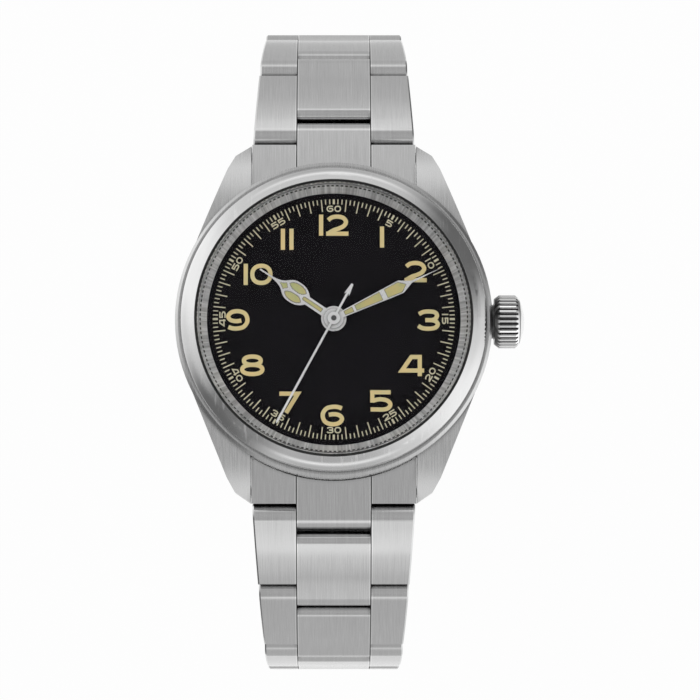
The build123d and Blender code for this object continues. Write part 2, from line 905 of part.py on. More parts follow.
with BuildPart() as yoke:
    yoke_start = groove_start + (groove_width - yoke_length) / 2
    with BuildSketch(Plane.XY.offset(stem_height - yoke_thickness / 2)):
        with BuildLine():
            Polyline(
                (yoke_start, -groove_radius - bar_clearance),
                (yoke_start + yoke_length, -groove_radius - bar_clearance),
                (yoke_start + yoke_length, -groove_radius - bar_clearance - yoke_width),
                (yoke_start, -groove_radius - bar_clearance - yoke_width),
                close=True,
            )
        make_face()
    extrude(amount=yoke_thickness)
save(yoke.part, "stem_yoke")


# Bracelet geometry: pins in the YZ plane, tilts in degrees below the horizontal
def step(point, tilt, length):
    return (
        point[0] + length * math.cos(math.radians(tilt)),
        point[1] - length * math.sin(math.radians(tilt)),
    )


def side_frame(point, tilt, side):
    """Link frame on one side: x along the link, y outward, sketched across the bracelet."""
    c = math.cos(math.radians(tilt))
    s = math.sin(math.radians(tilt))
    origin = (0, side * point[0], point[1])
    return Plane(origin=origin, x_dir=(0, side * c, -s), z_dir=(side, 0, 0))


def plan_frame(point, tilt, side):
    """The same link seen from outside: x along the link, y across it."""
    c = math.cos(math.radians(tilt))
    s = math.sin(math.radians(tilt))
    origin = (0, side * point[0], point[1])
    return Plane(origin=origin, x_dir=(0, side * c, -s), z_dir=(0, side * s, c))


half_thickness = link_thickness / 2
flat_place = half_thickness + link_gap
first_pin = (hinge_reach, hinge_height)

pins_12 = [first_pin]
for tilt in tilts_12:
    pins_12.append(step(pins_12[-1], tilt, link_pitch))
clasp_bar = pins_12[-1]
clasp_face = clasp_bar[1] - clasp_bar_height

end_bar_reach = clasp_bar[0] - (end_hinge_place - clasp_bar_place)
end_bar_height = clasp_face + end_hinge_height
pins_6 = [first_pin]
for tilt in tilts_6:
    pins_6.append(step(pins_6[-1], tilt, link_pitch))
gap_reach = -end_bar_reach - pins_6[-1][0]
gap_height = end_bar_height - pins_6[-1][1]
gap_tilt = math.degrees(math.atan2(-gap_height, gap_reach))
bend = math.degrees(math.acos(math.hypot(gap_reach, gap_height) / (2 * link_pitch)))
all_tilts_6 = tuple(tilts_6) + (gap_tilt - bend, gap_tilt + bend)
for tilt in all_tilts_6[-2:]:
    pins_6.append(step(pins_6[-1], tilt, link_pitch))
print("pins 12 side", [(round(y, 4), round(z, 4)) for y, z in pins_12])
print("pins 6 side", [(round(-y, 4), round(z, 4)) for y, z in pins_6])
print("tilts 6 side", [round(t, 3) for t in all_tilts_6])

widths = [last_width + (end_width - last_width) * share for share in width_taper_shares]


def across(frame, radius, place, half_width):
    """A round bar across the bracelet."""
    with BuildPart() as bar:
        with BuildSketch(frame):
            with Locations((place, 0)):
                Circle(radius)
        extrude(amount=half_width, both=True)
    return bar.part


def tongue_profile(start, end_round):
    """Flat near end at start, half round about the far pin."""
    with BuildSketch() as profile:
        with BuildLine():
            Polyline(
                (end_round, half_thickness),
                (start, half_thickness),
                (start, -half_thickness),
                (end_round, -half_thickness),
            )
            ThreePointArc(
                (end_round, -half_thickness),
                (end_round + half_thickness, 0),
                (end_round, half_thickness),
            )
        make_face()
    return profile.sketch


def bulge(place, far_place, rise):
    """Height of a link's outer face, highest halfway along it."""
    share = 2 * place / far_place - 1
    return half_thickness + rise * (1 - share**2)


def side_profile(far_place, rise):
    """Half round about the near pin, flat far end, outer face bulged by rise."""
    with BuildSketch() as profile:
        with BuildLine():
            if rise:
                ThreePointArc(
                    (0, half_thickness),
                    (far_place / 2, bulge(far_place / 2, far_place, rise)),
                    (far_place, half_thickness),
                )
            else:
                Line((0, half_thickness), (far_place, half_thickness))
            Polyline(
                (far_place, half_thickness),
                (far_place, -half_thickness),
                (0, -half_thickness),
            )
            ThreePointArc((0, -half_thickness), (-half_thickness, 0), (0, half_thickness))
        make_face()
    return profile.sketch


def width_profile(near_place, far_place, near_width, far_width):
    """Plan of a tapering link."""
    with BuildSketch() as profile:
        with BuildLine():
            Polyline(
                (near_place, near_width / 2),
                (far_place, far_width / 2),
                (far_place, -far_width / 2),
                (near_place, -near_width / 2),
                close=True,
            )
        make_face()
    return profile.sketch


def link_unit(name, point, tilt, side, near_width, far_width):
    frame = side_frame(point, tilt, side)
    plan = plan_frame(point, tilt, side)
    far_flat = link_pitch - flat_place
    center_half = link_center_width / 2
    outer_half = near_width / 2
    with BuildPart() as outer:
        with BuildSketch(frame):
            add(side_profile(far_flat, link_rise))
        extrude(amount=outer_half, both=True)
        with BuildSketch(plan):
            add(width_profile(-link_thickness, far_flat, near_width, far_width))
        extrude(amount=link_thickness, both=True, mode=Mode.INTERSECT)
        long_edges = outer.edges().filter_by(lambda edge: edge.length > far_flat * long_edge_share)
        chamfer(
            long_edges.filter_by(
                lambda edge: frame.to_local_coords(edge.center()).X > half_thickness
            ),
            link_edge,
        )
        with BuildSketch(frame):
            with Locations((link_pitch / 2, 0)):
                Rectangle(link_pitch * 2, link_thickness * 2)
        extrude(amount=center_half, both=True, mode=Mode.SUBTRACT)
        with BuildSketch(frame):
            Circle(pin_radius)
            with Locations((link_pitch / 2, 0)):
                Circle(rivet_radius)
        extrude(amount=outer_half, both=True, mode=Mode.SUBTRACT)
    with BuildPart() as center:
        with BuildSketch(frame) as center_side:
            with BuildLine():
                near_top = (flat_place, bulge(flat_place, far_flat, link_rise))
                ThreePointArc(
                    near_top,
                    (far_flat / 2, bulge(far_flat / 2, far_flat, link_rise)),
                    (far_flat, half_thickness),
                )
                Polyline(
                    (far_flat, half_thickness),
                    (far_flat, -half_thickness),
                    (flat_place, -half_thickness),
                    near_top,
                )
            make_face()
            fillet(center_side.vertices().sort_by(Axis.Y)[-1], center_round)
        extrude(amount=center_half, both=True)
        with BuildSketch(frame):
            add(tongue_profile(link_pitch / 2, link_pitch))
        extrude(amount=center_half - tongue_play, both=True)
        with BuildSketch(frame):
            with Locations((link_pitch, 0)):
                Circle(pin_radius + pin_clearance)
            with Locations((link_pitch / 2, 0)):
                Circle(rivet_radius)
        extrude(amount=outer_half, both=True, mode=Mode.SUBTRACT)
    near_bar = across(frame, pin_radius, 0, far_width / 2 - pin_inset)
    rivet = across(frame, rivet_radius, link_pitch / 2, far_width / 2 - pin_inset)
    save_group([outer.part, center.part, near_bar, rivet], name)


def clasp_end_unit(name, point, tilt, side, width):
    """The last 12 side unit: full width round end that enters the clasp cover."""
    frame = side_frame(point, tilt, side)
    center_half = link_center_width / 2
    with BuildPart() as body:
        with BuildSketch(frame):
            add(side_profile(link_pitch, 0))
            with Locations((link_pitch, 0)):
                Circle(half_thickness)
        extrude(amount=width / 2, both=True)
        with BuildSketch(frame):
            Rectangle(flat_place * 2, link_thickness * 2)
        extrude(amount=center_half, both=True, mode=Mode.SUBTRACT)
        with BuildSketch(frame):
            Circle(pin_radius)
            with Locations((link_pitch, 0)):
                Circle(pin_radius + pin_clearance)
        extrude(amount=width, both=True, mode=Mode.SUBTRACT)
    near_bar = across(frame, pin_radius, 0, width / 2 - pin_inset)
    save_group([body.part, near_bar], name)


def fork_end_unit(name, point, tilt, side, width):
    """The last 6 side unit: two arms that straddle the inner blade's end."""
    frame = side_frame(point, tilt, side)
    center_half = link_center_width / 2
    with BuildPart() as body:
        with BuildSketch(frame):
            add(side_profile(link_pitch, 0))
            with Locations((link_pitch, 0)):
                Circle(half_thickness)
        extrude(amount=width / 2, both=True)
        with BuildSketch(frame):
            Rectangle(flat_place * 2, link_thickness * 2)
            with Locations((link_pitch, 0)):
                Rectangle(flat_place * 4, link_thickness * 2)
        extrude(amount=center_half, both=True, mode=Mode.SUBTRACT)
        with BuildSketch(frame):
            Circle(pin_radius)
        extrude(amount=width, both=True, mode=Mode.SUBTRACT)
        with BuildSketch(frame):
            with Locations((link_pitch, 0)):
                Circle(bar_tip_radius + bar_clearance)
        extrude(amount=center_half + bar_tip_length * 2, both=True, mode=Mode.SUBTRACT)
    near_bar = across(frame, pin_radius, 0, width / 2 - pin_inset)
    save_group([body.part, near_bar], name)


# End links: solid blocks between the lugs, hollowed to the case and bored for the lug bars
def end_link(name, side):
    frame = side_frame(first_pin, end_tilt, side)
    plan = plan_frame(first_pin, end_tilt, side)
    reach_in = case_radius / 2
    with BuildPart() as block:
        with BuildSketch(frame):
            with BuildLine():
                Polyline(
                    (-flat_place, half_thickness),
                    (-reach_in, half_thickness),
                    (-reach_in, -half_thickness),
                    (-flat_place, -half_thickness),
                    close=True,
                )
            make_face()
        extrude(amount=end_width / 2, both=True)
        with BuildSketch(frame):
            add(tongue_profile(-reach_in / 2, 0))
        extrude(amount=link_center_width / 2 - tongue_play, both=True)
        with BuildSketch(Plane.XY.offset(-link_thickness)):
            Circle(case_radius + end_link_play)
        extrude(amount=case_top + link_thickness, mode=Mode.SUBTRACT)
        with BuildSketch(plan.offset(half_thickness - groove_depth)):
            with Locations((-reach_in / 2, link_center_width / 2), (-reach_in / 2, -link_center_width / 2)):
                Rectangle(reach_in * 2, groove_line)
        extrude(amount=OVERRUN, mode=Mode.SUBTRACT)
        with BuildSketch(frame):
            Circle(pin_radius + pin_clearance)
        extrude(amount=end_width, both=True, mode=Mode.SUBTRACT)
        with BuildSketch(Plane.YZ):
            with Locations((side * bar_reach, bar_height)):
                Circle(bar_radius + bar_clearance)
        extrude(amount=end_width, both=True, mode=Mode.SUBTRACT)
    save(block.part, name)


end_link("end_link_12", 1)
end_link("end_link_6", -1)

lug_bars = []
for side in (1, -1):
    with BuildPart() as lug_bar:
        with BuildSketch(Plane.YZ):
            with Locations((side * bar_reach, bar_height)):
                Circle(bar_radius)
        extrude(amount=lug_gap / 2 - bar_clearance, both=True)
        with BuildSketch(Plane.YZ):
            with Locations((side * bar_reach, bar_height)):
                Circle(bar_tip_radius)
        extrude(amount=lug_gap / 2 + bar_tip_length - bar_clearance, both=True)
    lug_bars.append(lug_bar.part)
save_group(lug_bars, "lug_spring_bars")

for index, tilt in enumerate(tilts_12[:-1]):
    link_unit(f"link_12_{index + 1}", pins_12[index], tilt, 1, widths[index], widths[index + 1])
clasp_end_unit(f"link_12_{len(tilts_12)}", pins_12[-2], tilts_12[-1], 1, last_width)
for index, tilt in enumerate(all_tilts_6[:-1]):
    link_unit(f"link_6_{index + 1}", pins_6[index], tilt, -1, widths[index], widths[index + 1])
fork_end_unit(f"link_6_{len(all_tilts_6)}", pins_6[-2], all_tilts_6[-1], -1, last_width)

# Clasp: x runs along it from the 12 side end, y runs inward from its outer face
clasp_start = clasp_bar[0] + clasp_bar_place
clasp_side = Plane(origin=(0, clasp_start, clasp_face), x_dir=(0, -1, 0), z_dir=(-1, 0, 0))
clasp_plan = Plane(origin=(0, clasp_start, clasp_face), x_dir=(0, -1, 0), z_dir=(0, 0, 1))
cover_inner_half = last_width / 2 + clasp_play
cover_half = cover_inner_half + clasp_wall

with BuildPart() as clasp_cover:
    with BuildSketch(clasp_side):
        with BuildLine():
            Polyline(
                (0, clasp_height),
                (0, clasp_round),
            )
            ThreePointArc(
                (0, clasp_round),
                (clasp_round * (1 - math.sqrt(1 / 2)), clasp_round * (1 - math.sqrt(1 / 2))),
                (clasp_round, 0),
            )
            Line((clasp_round, 0), (clasp_length - clasp_round, 0))
            ThreePointArc(
                (clasp_length - clasp_round, 0),
                (
                    clasp_length - clasp_round * (1 - math.sqrt(1 / 2)),
                    clasp_round * (1 - math.sqrt(1 / 2)),
                ),
                (clasp_length, clasp_round),
            )
            Polyline((clasp_length, clasp_round), (clasp_length, clasp_height), (0, clasp_height))
        make_face()
    extrude(amount=cover_half, both=True)
    with BuildSketch(clasp_side):
        with Locations((clasp_length / 2, clasp_floor + clasp_height / 2)):
            Rectangle(clasp_length + OVERRUN, clasp_height)
    extrude(amount=cover_inner_half, both=True, mode=Mode.SUBTRACT)
    with BuildSketch(clasp_side):
        with Locations((outer_hinge_place, outer_hinge_height)):
            Circle(knuckle_radius)
    extrude(amount=cover_inner_half + clasp_wall / 2, both=True)
    with BuildSketch(clasp_side):
        with Locations((outer_hinge_place, outer_hinge_height)):
            Circle(knuckle_radius + clasp_play)
    extrude(amount=blade_width / 2 + knuckle_play, both=True, mode=Mode.SUBTRACT)
    with BuildSketch(clasp_side):
        for count in range(adjust_holes):
            with Locations((clasp_bar_place + count * adjust_pitch, clasp_bar_height)):
                Circle(adjust_radius)
        with Locations((outer_hinge_place, outer_hinge_height)):
            Circle(hinge_pin_radius)
    extrude(amount=cover_half + OVERRUN, both=True, mode=Mode.SUBTRACT)
    with BuildSketch(clasp_side):
        with Locations((button_place + button_length / 2, button_level)):
            Rectangle(button_length + button_play * 2, button_height + button_play * 2)
    extrude(amount=cover_half + OVERRUN, both=True, mode=Mode.SUBTRACT)
save(clasp_cover.part, "clasp_cover")

# Spring bar that joins the last 12 side link to the cover
with BuildPart() as clasp_bar_piece:
    with BuildSketch(clasp_side):
        with Locations((clasp_bar_place, clasp_bar_height)):
            Circle(pin_radius)
    extrude(amount=cover_inner_half - bar_clearance, both=True)
    with BuildSketch(clasp_side):
        with Locations((clasp_bar_place, clasp_bar_height)):
            Circle(bar_tip_radius)
    extrude(amount=cover_half - bar_clearance, both=True)
save(clasp_bar_piece.part, "clasp_spring_bar")

# Middle blade: rolled round the cover's hinge pin, folded back towards 12
mid_knuckle_half = knuckle_width / 2
with BuildPart() as middle_blade:
    with BuildSketch(clasp_side):
        with Locations((outer_hinge_place, outer_hinge_height)):
            Circle(knuckle_radius)
        with BuildLine():
            level = middle_blade_height
            Polyline(
                (outer_hinge_place, level + blade_thickness / 2),
                (middle_hinge_place, level + blade_thickness / 2),
                (middle_hinge_place, level - blade_thickness / 2),
                (outer_hinge_place, level - blade_thickness / 2),
                close=True,
            )
        make_face()
    extrude(amount=blade_width / 2, both=True)
    with BuildSketch(clasp_side):
        with Locations((middle_hinge_place, middle_hinge_height)):
            Rectangle((knuckle_radius + clasp_play) * 2, clasp_height * 2)
    extrude(amount=blade_width / 2, both=True, mode=Mode.SUBTRACT)
    with BuildSketch(clasp_side):
        with Locations((middle_hinge_place, middle_hinge_height)):
            Circle(knuckle_radius)
        with BuildLine():
            Polyline(
                (middle_hinge_place, level - blade_thickness / 2),
                (middle_hinge_place + end_neck, level - blade_thickness / 2),
                (middle_hinge_place + end_neck, level + blade_thickness / 2),
                (middle_hinge_place, level + blade_thickness / 2),
                close=True,
            )
        make_face()
    extrude(amount=mid_knuckle_half, both=True)
    blade_span = outer_hinge_place - middle_hinge_place
    with BuildSketch(clasp_plan):
        with Locations(((outer_hinge_place + middle_hinge_place) / 2, 0)):
            SlotOverall(blade_span * window_share, blade_width / 3)
    extrude(amount=clasp_height, mode=Mode.SUBTRACT)
    with BuildSketch(clasp_side):
        with Locations((outer_hinge_place, outer_hinge_height)):
            Circle(hinge_pin_radius + bar_clearance)
        with Locations((middle_hinge_place, middle_hinge_height)):
            Circle(hinge_pin_radius)
    extrude(amount=blade_width, both=True, mode=Mode.SUBTRACT)
save(middle_blade.part, "clasp_middle_blade")

save(
    across(
        Plane(
            origin=(0, clasp_start - outer_hinge_place, clasp_face + outer_hinge_height),
            x_dir=(0, -1, 0),
            z_dir=(-1, 0, 0),
        ),
        hinge_pin_radius,
        0,
        cover_half - bar_clearance,
    ),
    "clasp_cover_pin",
)
save(
    across(
        Plane(
            origin=(0, clasp_start - middle_hinge_place, clasp_face + middle_hinge_height),
            x_dir=(0, -1, 0),
            z_dir=(-1, 0, 0),
        ),
        hinge_pin_radius,
        0,
        blade_width / 2 - bar_clearance,
    ),
    "clasp_blade_pin",
)

# Inner blade: hinged to the middle blade, with a narrow tongue for the 6 side link
with BuildPart() as inner_blade:
    level = inner_blade_height
    neck_start = end_hinge_place - end_neck
    with BuildSketch(clasp_side):
        with Locations((middle_hinge_place, middle_hinge_height)):
            Circle(knuckle_radius)
        with BuildLine():
            Polyline(
                (middle_hinge_place, level + blade_thickness / 2),
                (neck_start, level + blade_thickness / 2),
                (neck_start, level - blade_thickness / 2),
                (middle_hinge_place, level - blade_thickness / 2),
                close=True,
            )
        make_face()
    extrude(amount=blade_width / 2, both=True)
    with BuildSketch(clasp_side):
        with Locations((middle_hinge_place, middle_hinge_height)):
            Circle(knuckle_radius + clasp_play)
    extrude(amount=mid_knuckle_half + knuckle_play, both=True, mode=Mode.SUBTRACT)
    with BuildSketch(clasp_side):
        with Locations((end_hinge_place, end_hinge_height)):
            Circle(knuckle_radius)
        with BuildLine():
            Polyline(
                (neck_start, level + blade_thickness / 2),
                (end_hinge_place, level + blade_thickness / 2),
                (end_hinge_place, level - blade_thickness / 2),
                (neck_start, level - blade_thickness / 2),
                close=True,
            )
        make_face()
    extrude(amount=end_knuckle_width / 2, both=True)
    with BuildSketch(clasp_plan):
        with Locations(((neck_start + middle_hinge_place) / 2, 0)):
            SlotOverall(blade_span * window_share, blade_width / 3)
    extrude(amount=clasp_height * 2, mode=Mode.SUBTRACT)
    with BuildSketch(clasp_side):
        with Locations((middle_hinge_place, middle_hinge_height)):
            Circle(hinge_pin_radius + bar_clearance)
        with Locations((end_hinge_place, end_hinge_height)):
            Circle(hinge_pin_radius)
    extrude(amount=blade_width, both=True, mode=Mode.SUBTRACT)
save(inner_blade.part, "clasp_inner_blade")

# Spring bar at the open pivot, its tips drawn in clear of the fork arms
save(
    across(
        Plane(
            origin=(0, clasp_start - end_hinge_place, clasp_face + end_hinge_height),
            x_dir=(0, -1, 0),
            z_dir=(-1, 0, 0),
        ),
        hinge_pin_radius,
        0,
        link_center_width / 2 - bar_pull,
    ),
    "clasp_end_bar",
)

# Two push buttons in the cover's walls
for side, name in ((1, "clasp_button_right"), (-1, "clasp_button_left")):
    with BuildPart() as button:
        with BuildSketch(Plane.YZ.offset(side * cover_inner_half)):
            with Locations(
                (clasp_start - button_place - button_length / 2, clasp_face + button_level)
            ):
                RectangleRounded(button_length, button_height, button_height / 4)
        extrude(amount=side * (clasp_wall + button_stand))
        with BuildSketch(Plane.YZ.offset(side * (cover_inner_half - running_gap))):
            with Locations(
                (clasp_start - button_place - button_length / 2, clasp_face + button_level)
            ):
                Rectangle(button_length + button_lip * 2, button_height + button_lip * 2)
        extrude(amount=-side * button_flange)
        with BuildSketch(Plane.YZ.offset(side * (cover_inner_half - running_gap))):
            with Locations(
                (clasp_start - button_place - button_length / 2, clasp_face + button_level)
            ):
                Rectangle(button_length / 2, button_height / 2)
        extrude(amount=side * running_gap)
    save(button.part, name)
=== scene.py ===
# %% [markdown]
# A steel field watch with a black dial, closed on its link bracelet as if it were worn.
# The CAD model already holds every part, each in its place, so nothing is moved here.
# This lesson gives each part its finish, prints the dial and sets up a small studio.

# %% Load the watch
import math

import bmesh
import bpy
from mathutils import Matrix, Vector


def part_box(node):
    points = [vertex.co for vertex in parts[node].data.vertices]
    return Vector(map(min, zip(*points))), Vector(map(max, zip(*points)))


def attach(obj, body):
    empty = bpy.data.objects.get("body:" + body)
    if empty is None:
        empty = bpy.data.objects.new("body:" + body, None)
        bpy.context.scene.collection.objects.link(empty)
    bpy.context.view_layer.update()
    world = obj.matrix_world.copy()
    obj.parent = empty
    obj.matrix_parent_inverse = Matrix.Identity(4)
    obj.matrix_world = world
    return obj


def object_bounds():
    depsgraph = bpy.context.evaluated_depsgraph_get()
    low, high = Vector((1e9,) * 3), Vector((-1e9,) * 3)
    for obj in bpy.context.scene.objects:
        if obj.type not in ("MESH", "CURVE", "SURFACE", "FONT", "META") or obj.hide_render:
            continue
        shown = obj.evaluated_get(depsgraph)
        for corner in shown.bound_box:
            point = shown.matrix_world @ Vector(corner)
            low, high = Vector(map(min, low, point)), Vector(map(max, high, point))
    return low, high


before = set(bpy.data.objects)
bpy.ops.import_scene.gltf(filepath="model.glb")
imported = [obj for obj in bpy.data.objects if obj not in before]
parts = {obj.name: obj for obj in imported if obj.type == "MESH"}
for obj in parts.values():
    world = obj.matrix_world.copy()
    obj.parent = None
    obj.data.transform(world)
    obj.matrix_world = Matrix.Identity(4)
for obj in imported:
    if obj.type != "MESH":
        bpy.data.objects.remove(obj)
cad_low, cad_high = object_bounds()
mm = 0.001
print("parts from the CAD model:", len(parts))

# %% [markdown]
# Every finish below is a node material, so a few short helpers keep the cells readable. Some add
# a node and feed its sockets with numbers or with other nodes' results. The rest stand for sums
# that come up often, such as a soft-edged band or the distance from the watch's axis.
# Writing nodes out in full each time would work too, but the idea of each finish would get lost.

# %% Node helpers


def add_node(tree, kind, **settings):
    node = tree.nodes.new(kind)
    for name, value in settings.items():
        setattr(node, name, value)
    return node


def join(tree, source, target):
    tree.links.new(source, target)


def feed(tree, sockets, values):
    """Gives each socket its number or colour, or joins it to the output that supplies one."""
    for socket, value in zip(sockets, values):
        if isinstance(value, (int, float, tuple)):
            socket.default_value = value
        else:
            join(tree, value, socket)


def maths(tree, operation, first, second=0.0):
    node = add_node(tree, "ShaderNodeMath", operation=operation)
    feed(tree, node.inputs, (first, second))
    return node.outputs[0]


def times(tree, first, second):
    return maths(tree, "MULTIPLY", first, second)


def grey(level):
    return (level, level, level, 1.0)


def blend_colours(tree, share, first, second):
    node = add_node(tree, "ShaderNodeMix", data_type="RGBA")
    feed(tree, (node.inputs[0], node.inputs[6], node.inputs[7]), (share, first, second))
    return node.outputs[2]


def spread(tree, value, low, high, to_low=0.0, to_high=1.0):
    """Moves a value from one range to another, and keeps it inside."""
    node = add_node(tree, "ShaderNodeMapRange")
    feed(tree, node.inputs, (value, low, high, to_low, to_high))
    return node.outputs[0]


def band(tree, value, rise_start, rise_end, fall_start, fall_end):
    """One inside the band and zero outside it, with soft edges."""
    rise = spread(tree, value, rise_start, rise_end)
    return times(tree, rise, spread(tree, value, fall_start, fall_end, 1.0, 0.0))


def vector_maths(tree, operation, *vectors):
    node = add_node(tree, "ShaderNodeVectorMath", operation=operation)
    feed(tree, node.inputs, vectors)
    return node.outputs


def split(tree, vector):
    node = add_node(tree, "ShaderNodeSeparateXYZ")
    join(tree, vector, node.inputs[0])
    return node.outputs


def combine(tree, x, y, z=0.0):
    node = add_node(tree, "ShaderNodeCombineXYZ")
    feed(tree, node.inputs, (x, y, z))
    return node.outputs[0]


def off_axis(tree, x, y):
    return vector_maths(tree, "LENGTH", combine(tree, x, y))[1]


def noise(tree, place, scale, detail, roughness=0.5):
    node = add_node(tree, "ShaderNodeTexNoise")
    sockets = [node.inputs[name] for name in ("Vector", "Scale", "Detail", "Roughness")]
    feed(tree, sockets, (place, scale, detail, roughness))
    return node.outputs[0]


def fill_ramp(tree, stops, source):
    """Reads a level off a list of stops, each a position and its level."""
    ramp = add_node(tree, "ShaderNodeValToRGB")
    ramp.color_ramp.interpolation = "EASE"
    elements = ramp.color_ramp.elements
    for index, (position, level) in enumerate(stops):
        stop = elements[index] if index < 2 else elements.new(position)
        stop.position = position
        stop.color = grey(level)
    join(tree, source, ramp.inputs[0])
    return ramp.outputs[0]


# %% [markdown]
# Brushed steel is rubbed with a gritty belt in one direction, so it carries thousands of fine
# lines. A noise pattern squeezed across the lines and stretched along them looks the same.
# The links turn as they go round the wrist, but the lines only need to change quickly from left
# to right, so one stretch works for every link. It is a node group because many parts share it.

# %% Shared pattern: brushed lines
vector_input = ("Vector", "NodeSocketVector")


def start_group(name, inputs, outputs):
    group = bpy.data.node_groups.new(name, "ShaderNodeTree")
    for label, kind in inputs:
        group.interface.new_socket(label, in_out="INPUT", socket_type=kind)
    for label in outputs:
        group.interface.new_socket(label, in_out="OUTPUT", socket_type="NodeSocketFloat")
    inside = add_node(group, "NodeGroupInput")
    outside = add_node(group, "NodeGroupOutput")
    return group, inside.outputs, outside.inputs


brushed_lines, given, result = start_group(
    "brushed_lines", [vector_input, ("Stretch", "NodeSocketVector")], ["Lines", "Patches"]
)
squeezed = vector_maths(brushed_lines, "MULTIPLY", given["Vector"], given["Stretch"])[0]
fine_lines = noise(brushed_lines, squeezed, scale=1.0, detail=3.0, roughness=0.65)
join(brushed_lines, spread(brushed_lines, fine_lines, 0.3, 0.7), result["Lines"])
patches = noise(brushed_lines, given["Vector"], scale=320.0, detail=2.0)
join(brushed_lines, patches, result["Patches"])
print("group brushed_lines has", len(brushed_lines.nodes), "nodes")

# %% [markdown]
# Polished steel is never perfect. Wear leaves hairline scratches in every direction and a faint
# haze where fingers touch it. Two stretched noises at different turns, kept only at their
# narrow crests, give scratches without any image.

# %% Shared pattern: hairline scratches
hairlines, given, result = start_group("hairlines", [vector_input], ["Scratches", "Haze"])
scratch_turns = (0.6, 1.9)
scratch_stretch = (2600.0, 160.0, 900.0)
crests = []
for turn in scratch_turns:
    turned = add_node(hairlines, "ShaderNodeMapping")
    turned.inputs["Rotation"].default_value = (turn, turn * 0.5, turn)
    turned.inputs["Scale"].default_value = scratch_stretch
    join(hairlines, given["Vector"], turned.inputs["Vector"])
    streaks = noise(hairlines, turned.outputs[0], scale=1.0, detail=1.0)
    crests.append(spread(hairlines, streaks, 0.66, 0.72))
join(hairlines, maths(hairlines, "MAXIMUM", *crests), result["Scratches"])
join(hairlines, noise(hairlines, given["Vector"], scale=140.0, detail=3.0), result["Haze"])

# %% [markdown]
# Turned parts, such as the chapter ring and the case back, carry fine rings left by the lathe.
# The pattern reads how far a point lies from the axis instead of its place from left to right,
# so the lines close into circles.

# %% Shared pattern: lathe rings
lathe_rings, given, result = start_group("lathe_rings", [vector_input], ["Rings", "Rays"])
ring_scale = 9000.0
ring_waver = 3.0
ray_turn_scale, ray_reach_scale = 60.0, 90.0
x, y, z = split(lathe_rings, given["Vector"])
reach = off_axis(lathe_rings, x, y)
angle = maths(lathe_rings, "ARCTAN2", y, x)
ring_place = combine(
    lathe_rings,
    times(lathe_rings, reach, ring_scale),
    times(lathe_rings, angle, ring_waver),
    times(lathe_rings, z, ring_scale),
)
join(lathe_rings, noise(lathe_rings, ring_place, scale=1.0, detail=2.0), result["Rings"])
ray_place = combine(
    lathe_rings,
    times(lathe_rings, angle, ray_turn_scale),
    times(lathe_rings, reach, ray_reach_scale),
)
join(lathe_rings, noise(lathe_rings, ray_place, scale=1.0, detail=3.0), result["Rays"])

# %% [markdown]
# Paint, rubber, lume and plastic all have a fine grain. One group gives a speckle and a slow
# cloud, and each material chooses how much of either it shows.

# %% Shared pattern: grain
grain, given, result = start_group(
    "grain", [vector_input, ("Scale", "NodeSocketFloat")], ["Speckle", "Cloud"]
)
slow_scale = times(grain, given["Scale"], 0.08)
join(grain, noise(grain, given["Vector"], given["Scale"], detail=2.0), result["Speckle"])
join(grain, noise(grain, given["Vector"], slow_scale, detail=2.0), result["Cloud"])

# %% [markdown]
# Grooves and seams look darker than open steel, because little light gets in. This painted shade
# uses an ambient occlusion node, which measures how closed in a point is. It needs no unwrapping.

# %% Shared pattern: painted shade in crevices
painted_crevice_shade, given, result = start_group("painted_crevice_shade", [("Reach", "NodeSocketFloat")], ["Shade"])
closed_in = add_node(painted_crevice_shade, "ShaderNodeAmbientOcclusion", samples=4)
join(painted_crevice_shade, given["Reach"], closed_in.inputs["Distance"])
join(painted_crevice_shade, spread(painted_crevice_shade, closed_in.outputs["AO"], 0.35, 0.85, 1.0, 0.0), result["Shade"])

# %% [markdown]
# Some fine marks depend only on where a point lies. The first are the hairline seams beside the
# middle row of links: a dark joint line with a painted highlight on each side, where edges shine.

# %% Shared pattern: seams between the rows, with painted highlights
link_seams, given, result = start_group("link_seams", [vector_input], ["Seam", "Edge"])
seam_offset = 4.5 * mm
sideways = maths(link_seams, "ABSOLUTE", split(link_seams, given["Vector"])[0])
off_seam = maths(link_seams, "ABSOLUTE", maths(link_seams, "SUBTRACT", sideways, seam_offset))
seam_line = spread(link_seams, off_seam, 0.03 * mm, 0.09 * mm, 1.0, 0.0)
join(link_seams, seam_line, result["Seam"])
painted_edge_highlight = band(link_seams, off_seam, 0.09 * mm, 0.12 * mm, 0.16 * mm, 0.2 * mm)
join(link_seams, painted_edge_highlight, result["Edge"])

# %% [markdown]
# The crown is turned about an axis that points to the right. The flutes are cut in the CAD model
# already, and this pattern only deepens the shade in them, on the collar behind them and in the
# thin line round the cap.

# %% Shared pattern: shade in the crown's flutes
crown_flutes, given, result = start_group("crown_flutes", [vector_input], ["Groove", "Collar"])
flute_count = 32
flutes_end, flutes_blur = 22.05 * mm, 0.05 * mm
collar_shade = (19.55 * mm, 19.9 * mm)
cap_line_edges = (22.2 * mm, 22.24 * mm, 22.32 * mm, 22.42 * mm)
crown_low, crown_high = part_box("crown")
crown_x, crown_y, crown_z = split(crown_flutes, given["Vector"])
above_axis = maths(crown_flutes, "SUBTRACT", crown_z, (crown_low.z + crown_high.z) / 2)
flute_turn = maths(crown_flutes, "ARCTAN2", above_axis, crown_y)
flute_wave = maths(crown_flutes, "COSINE", times(crown_flutes, flute_turn, flute_count))
before_cap = spread(crown_flutes, crown_x, flutes_end, flutes_end + flutes_blur, 1.0, 0.0)
groove = times(crown_flutes, spread(crown_flutes, flute_wave, -0.2, 0.5), before_cap)
join(crown_flutes, groove, result["Groove"])
collar = spread(crown_flutes, crown_x, *collar_shade, 1.0, 0.0)
cap_line = band(crown_flutes, crown_x, *cap_line_edges)
join(crown_flutes, maths(crown_flutes, "MAXIMUM", collar, cap_line), result["Collar"])

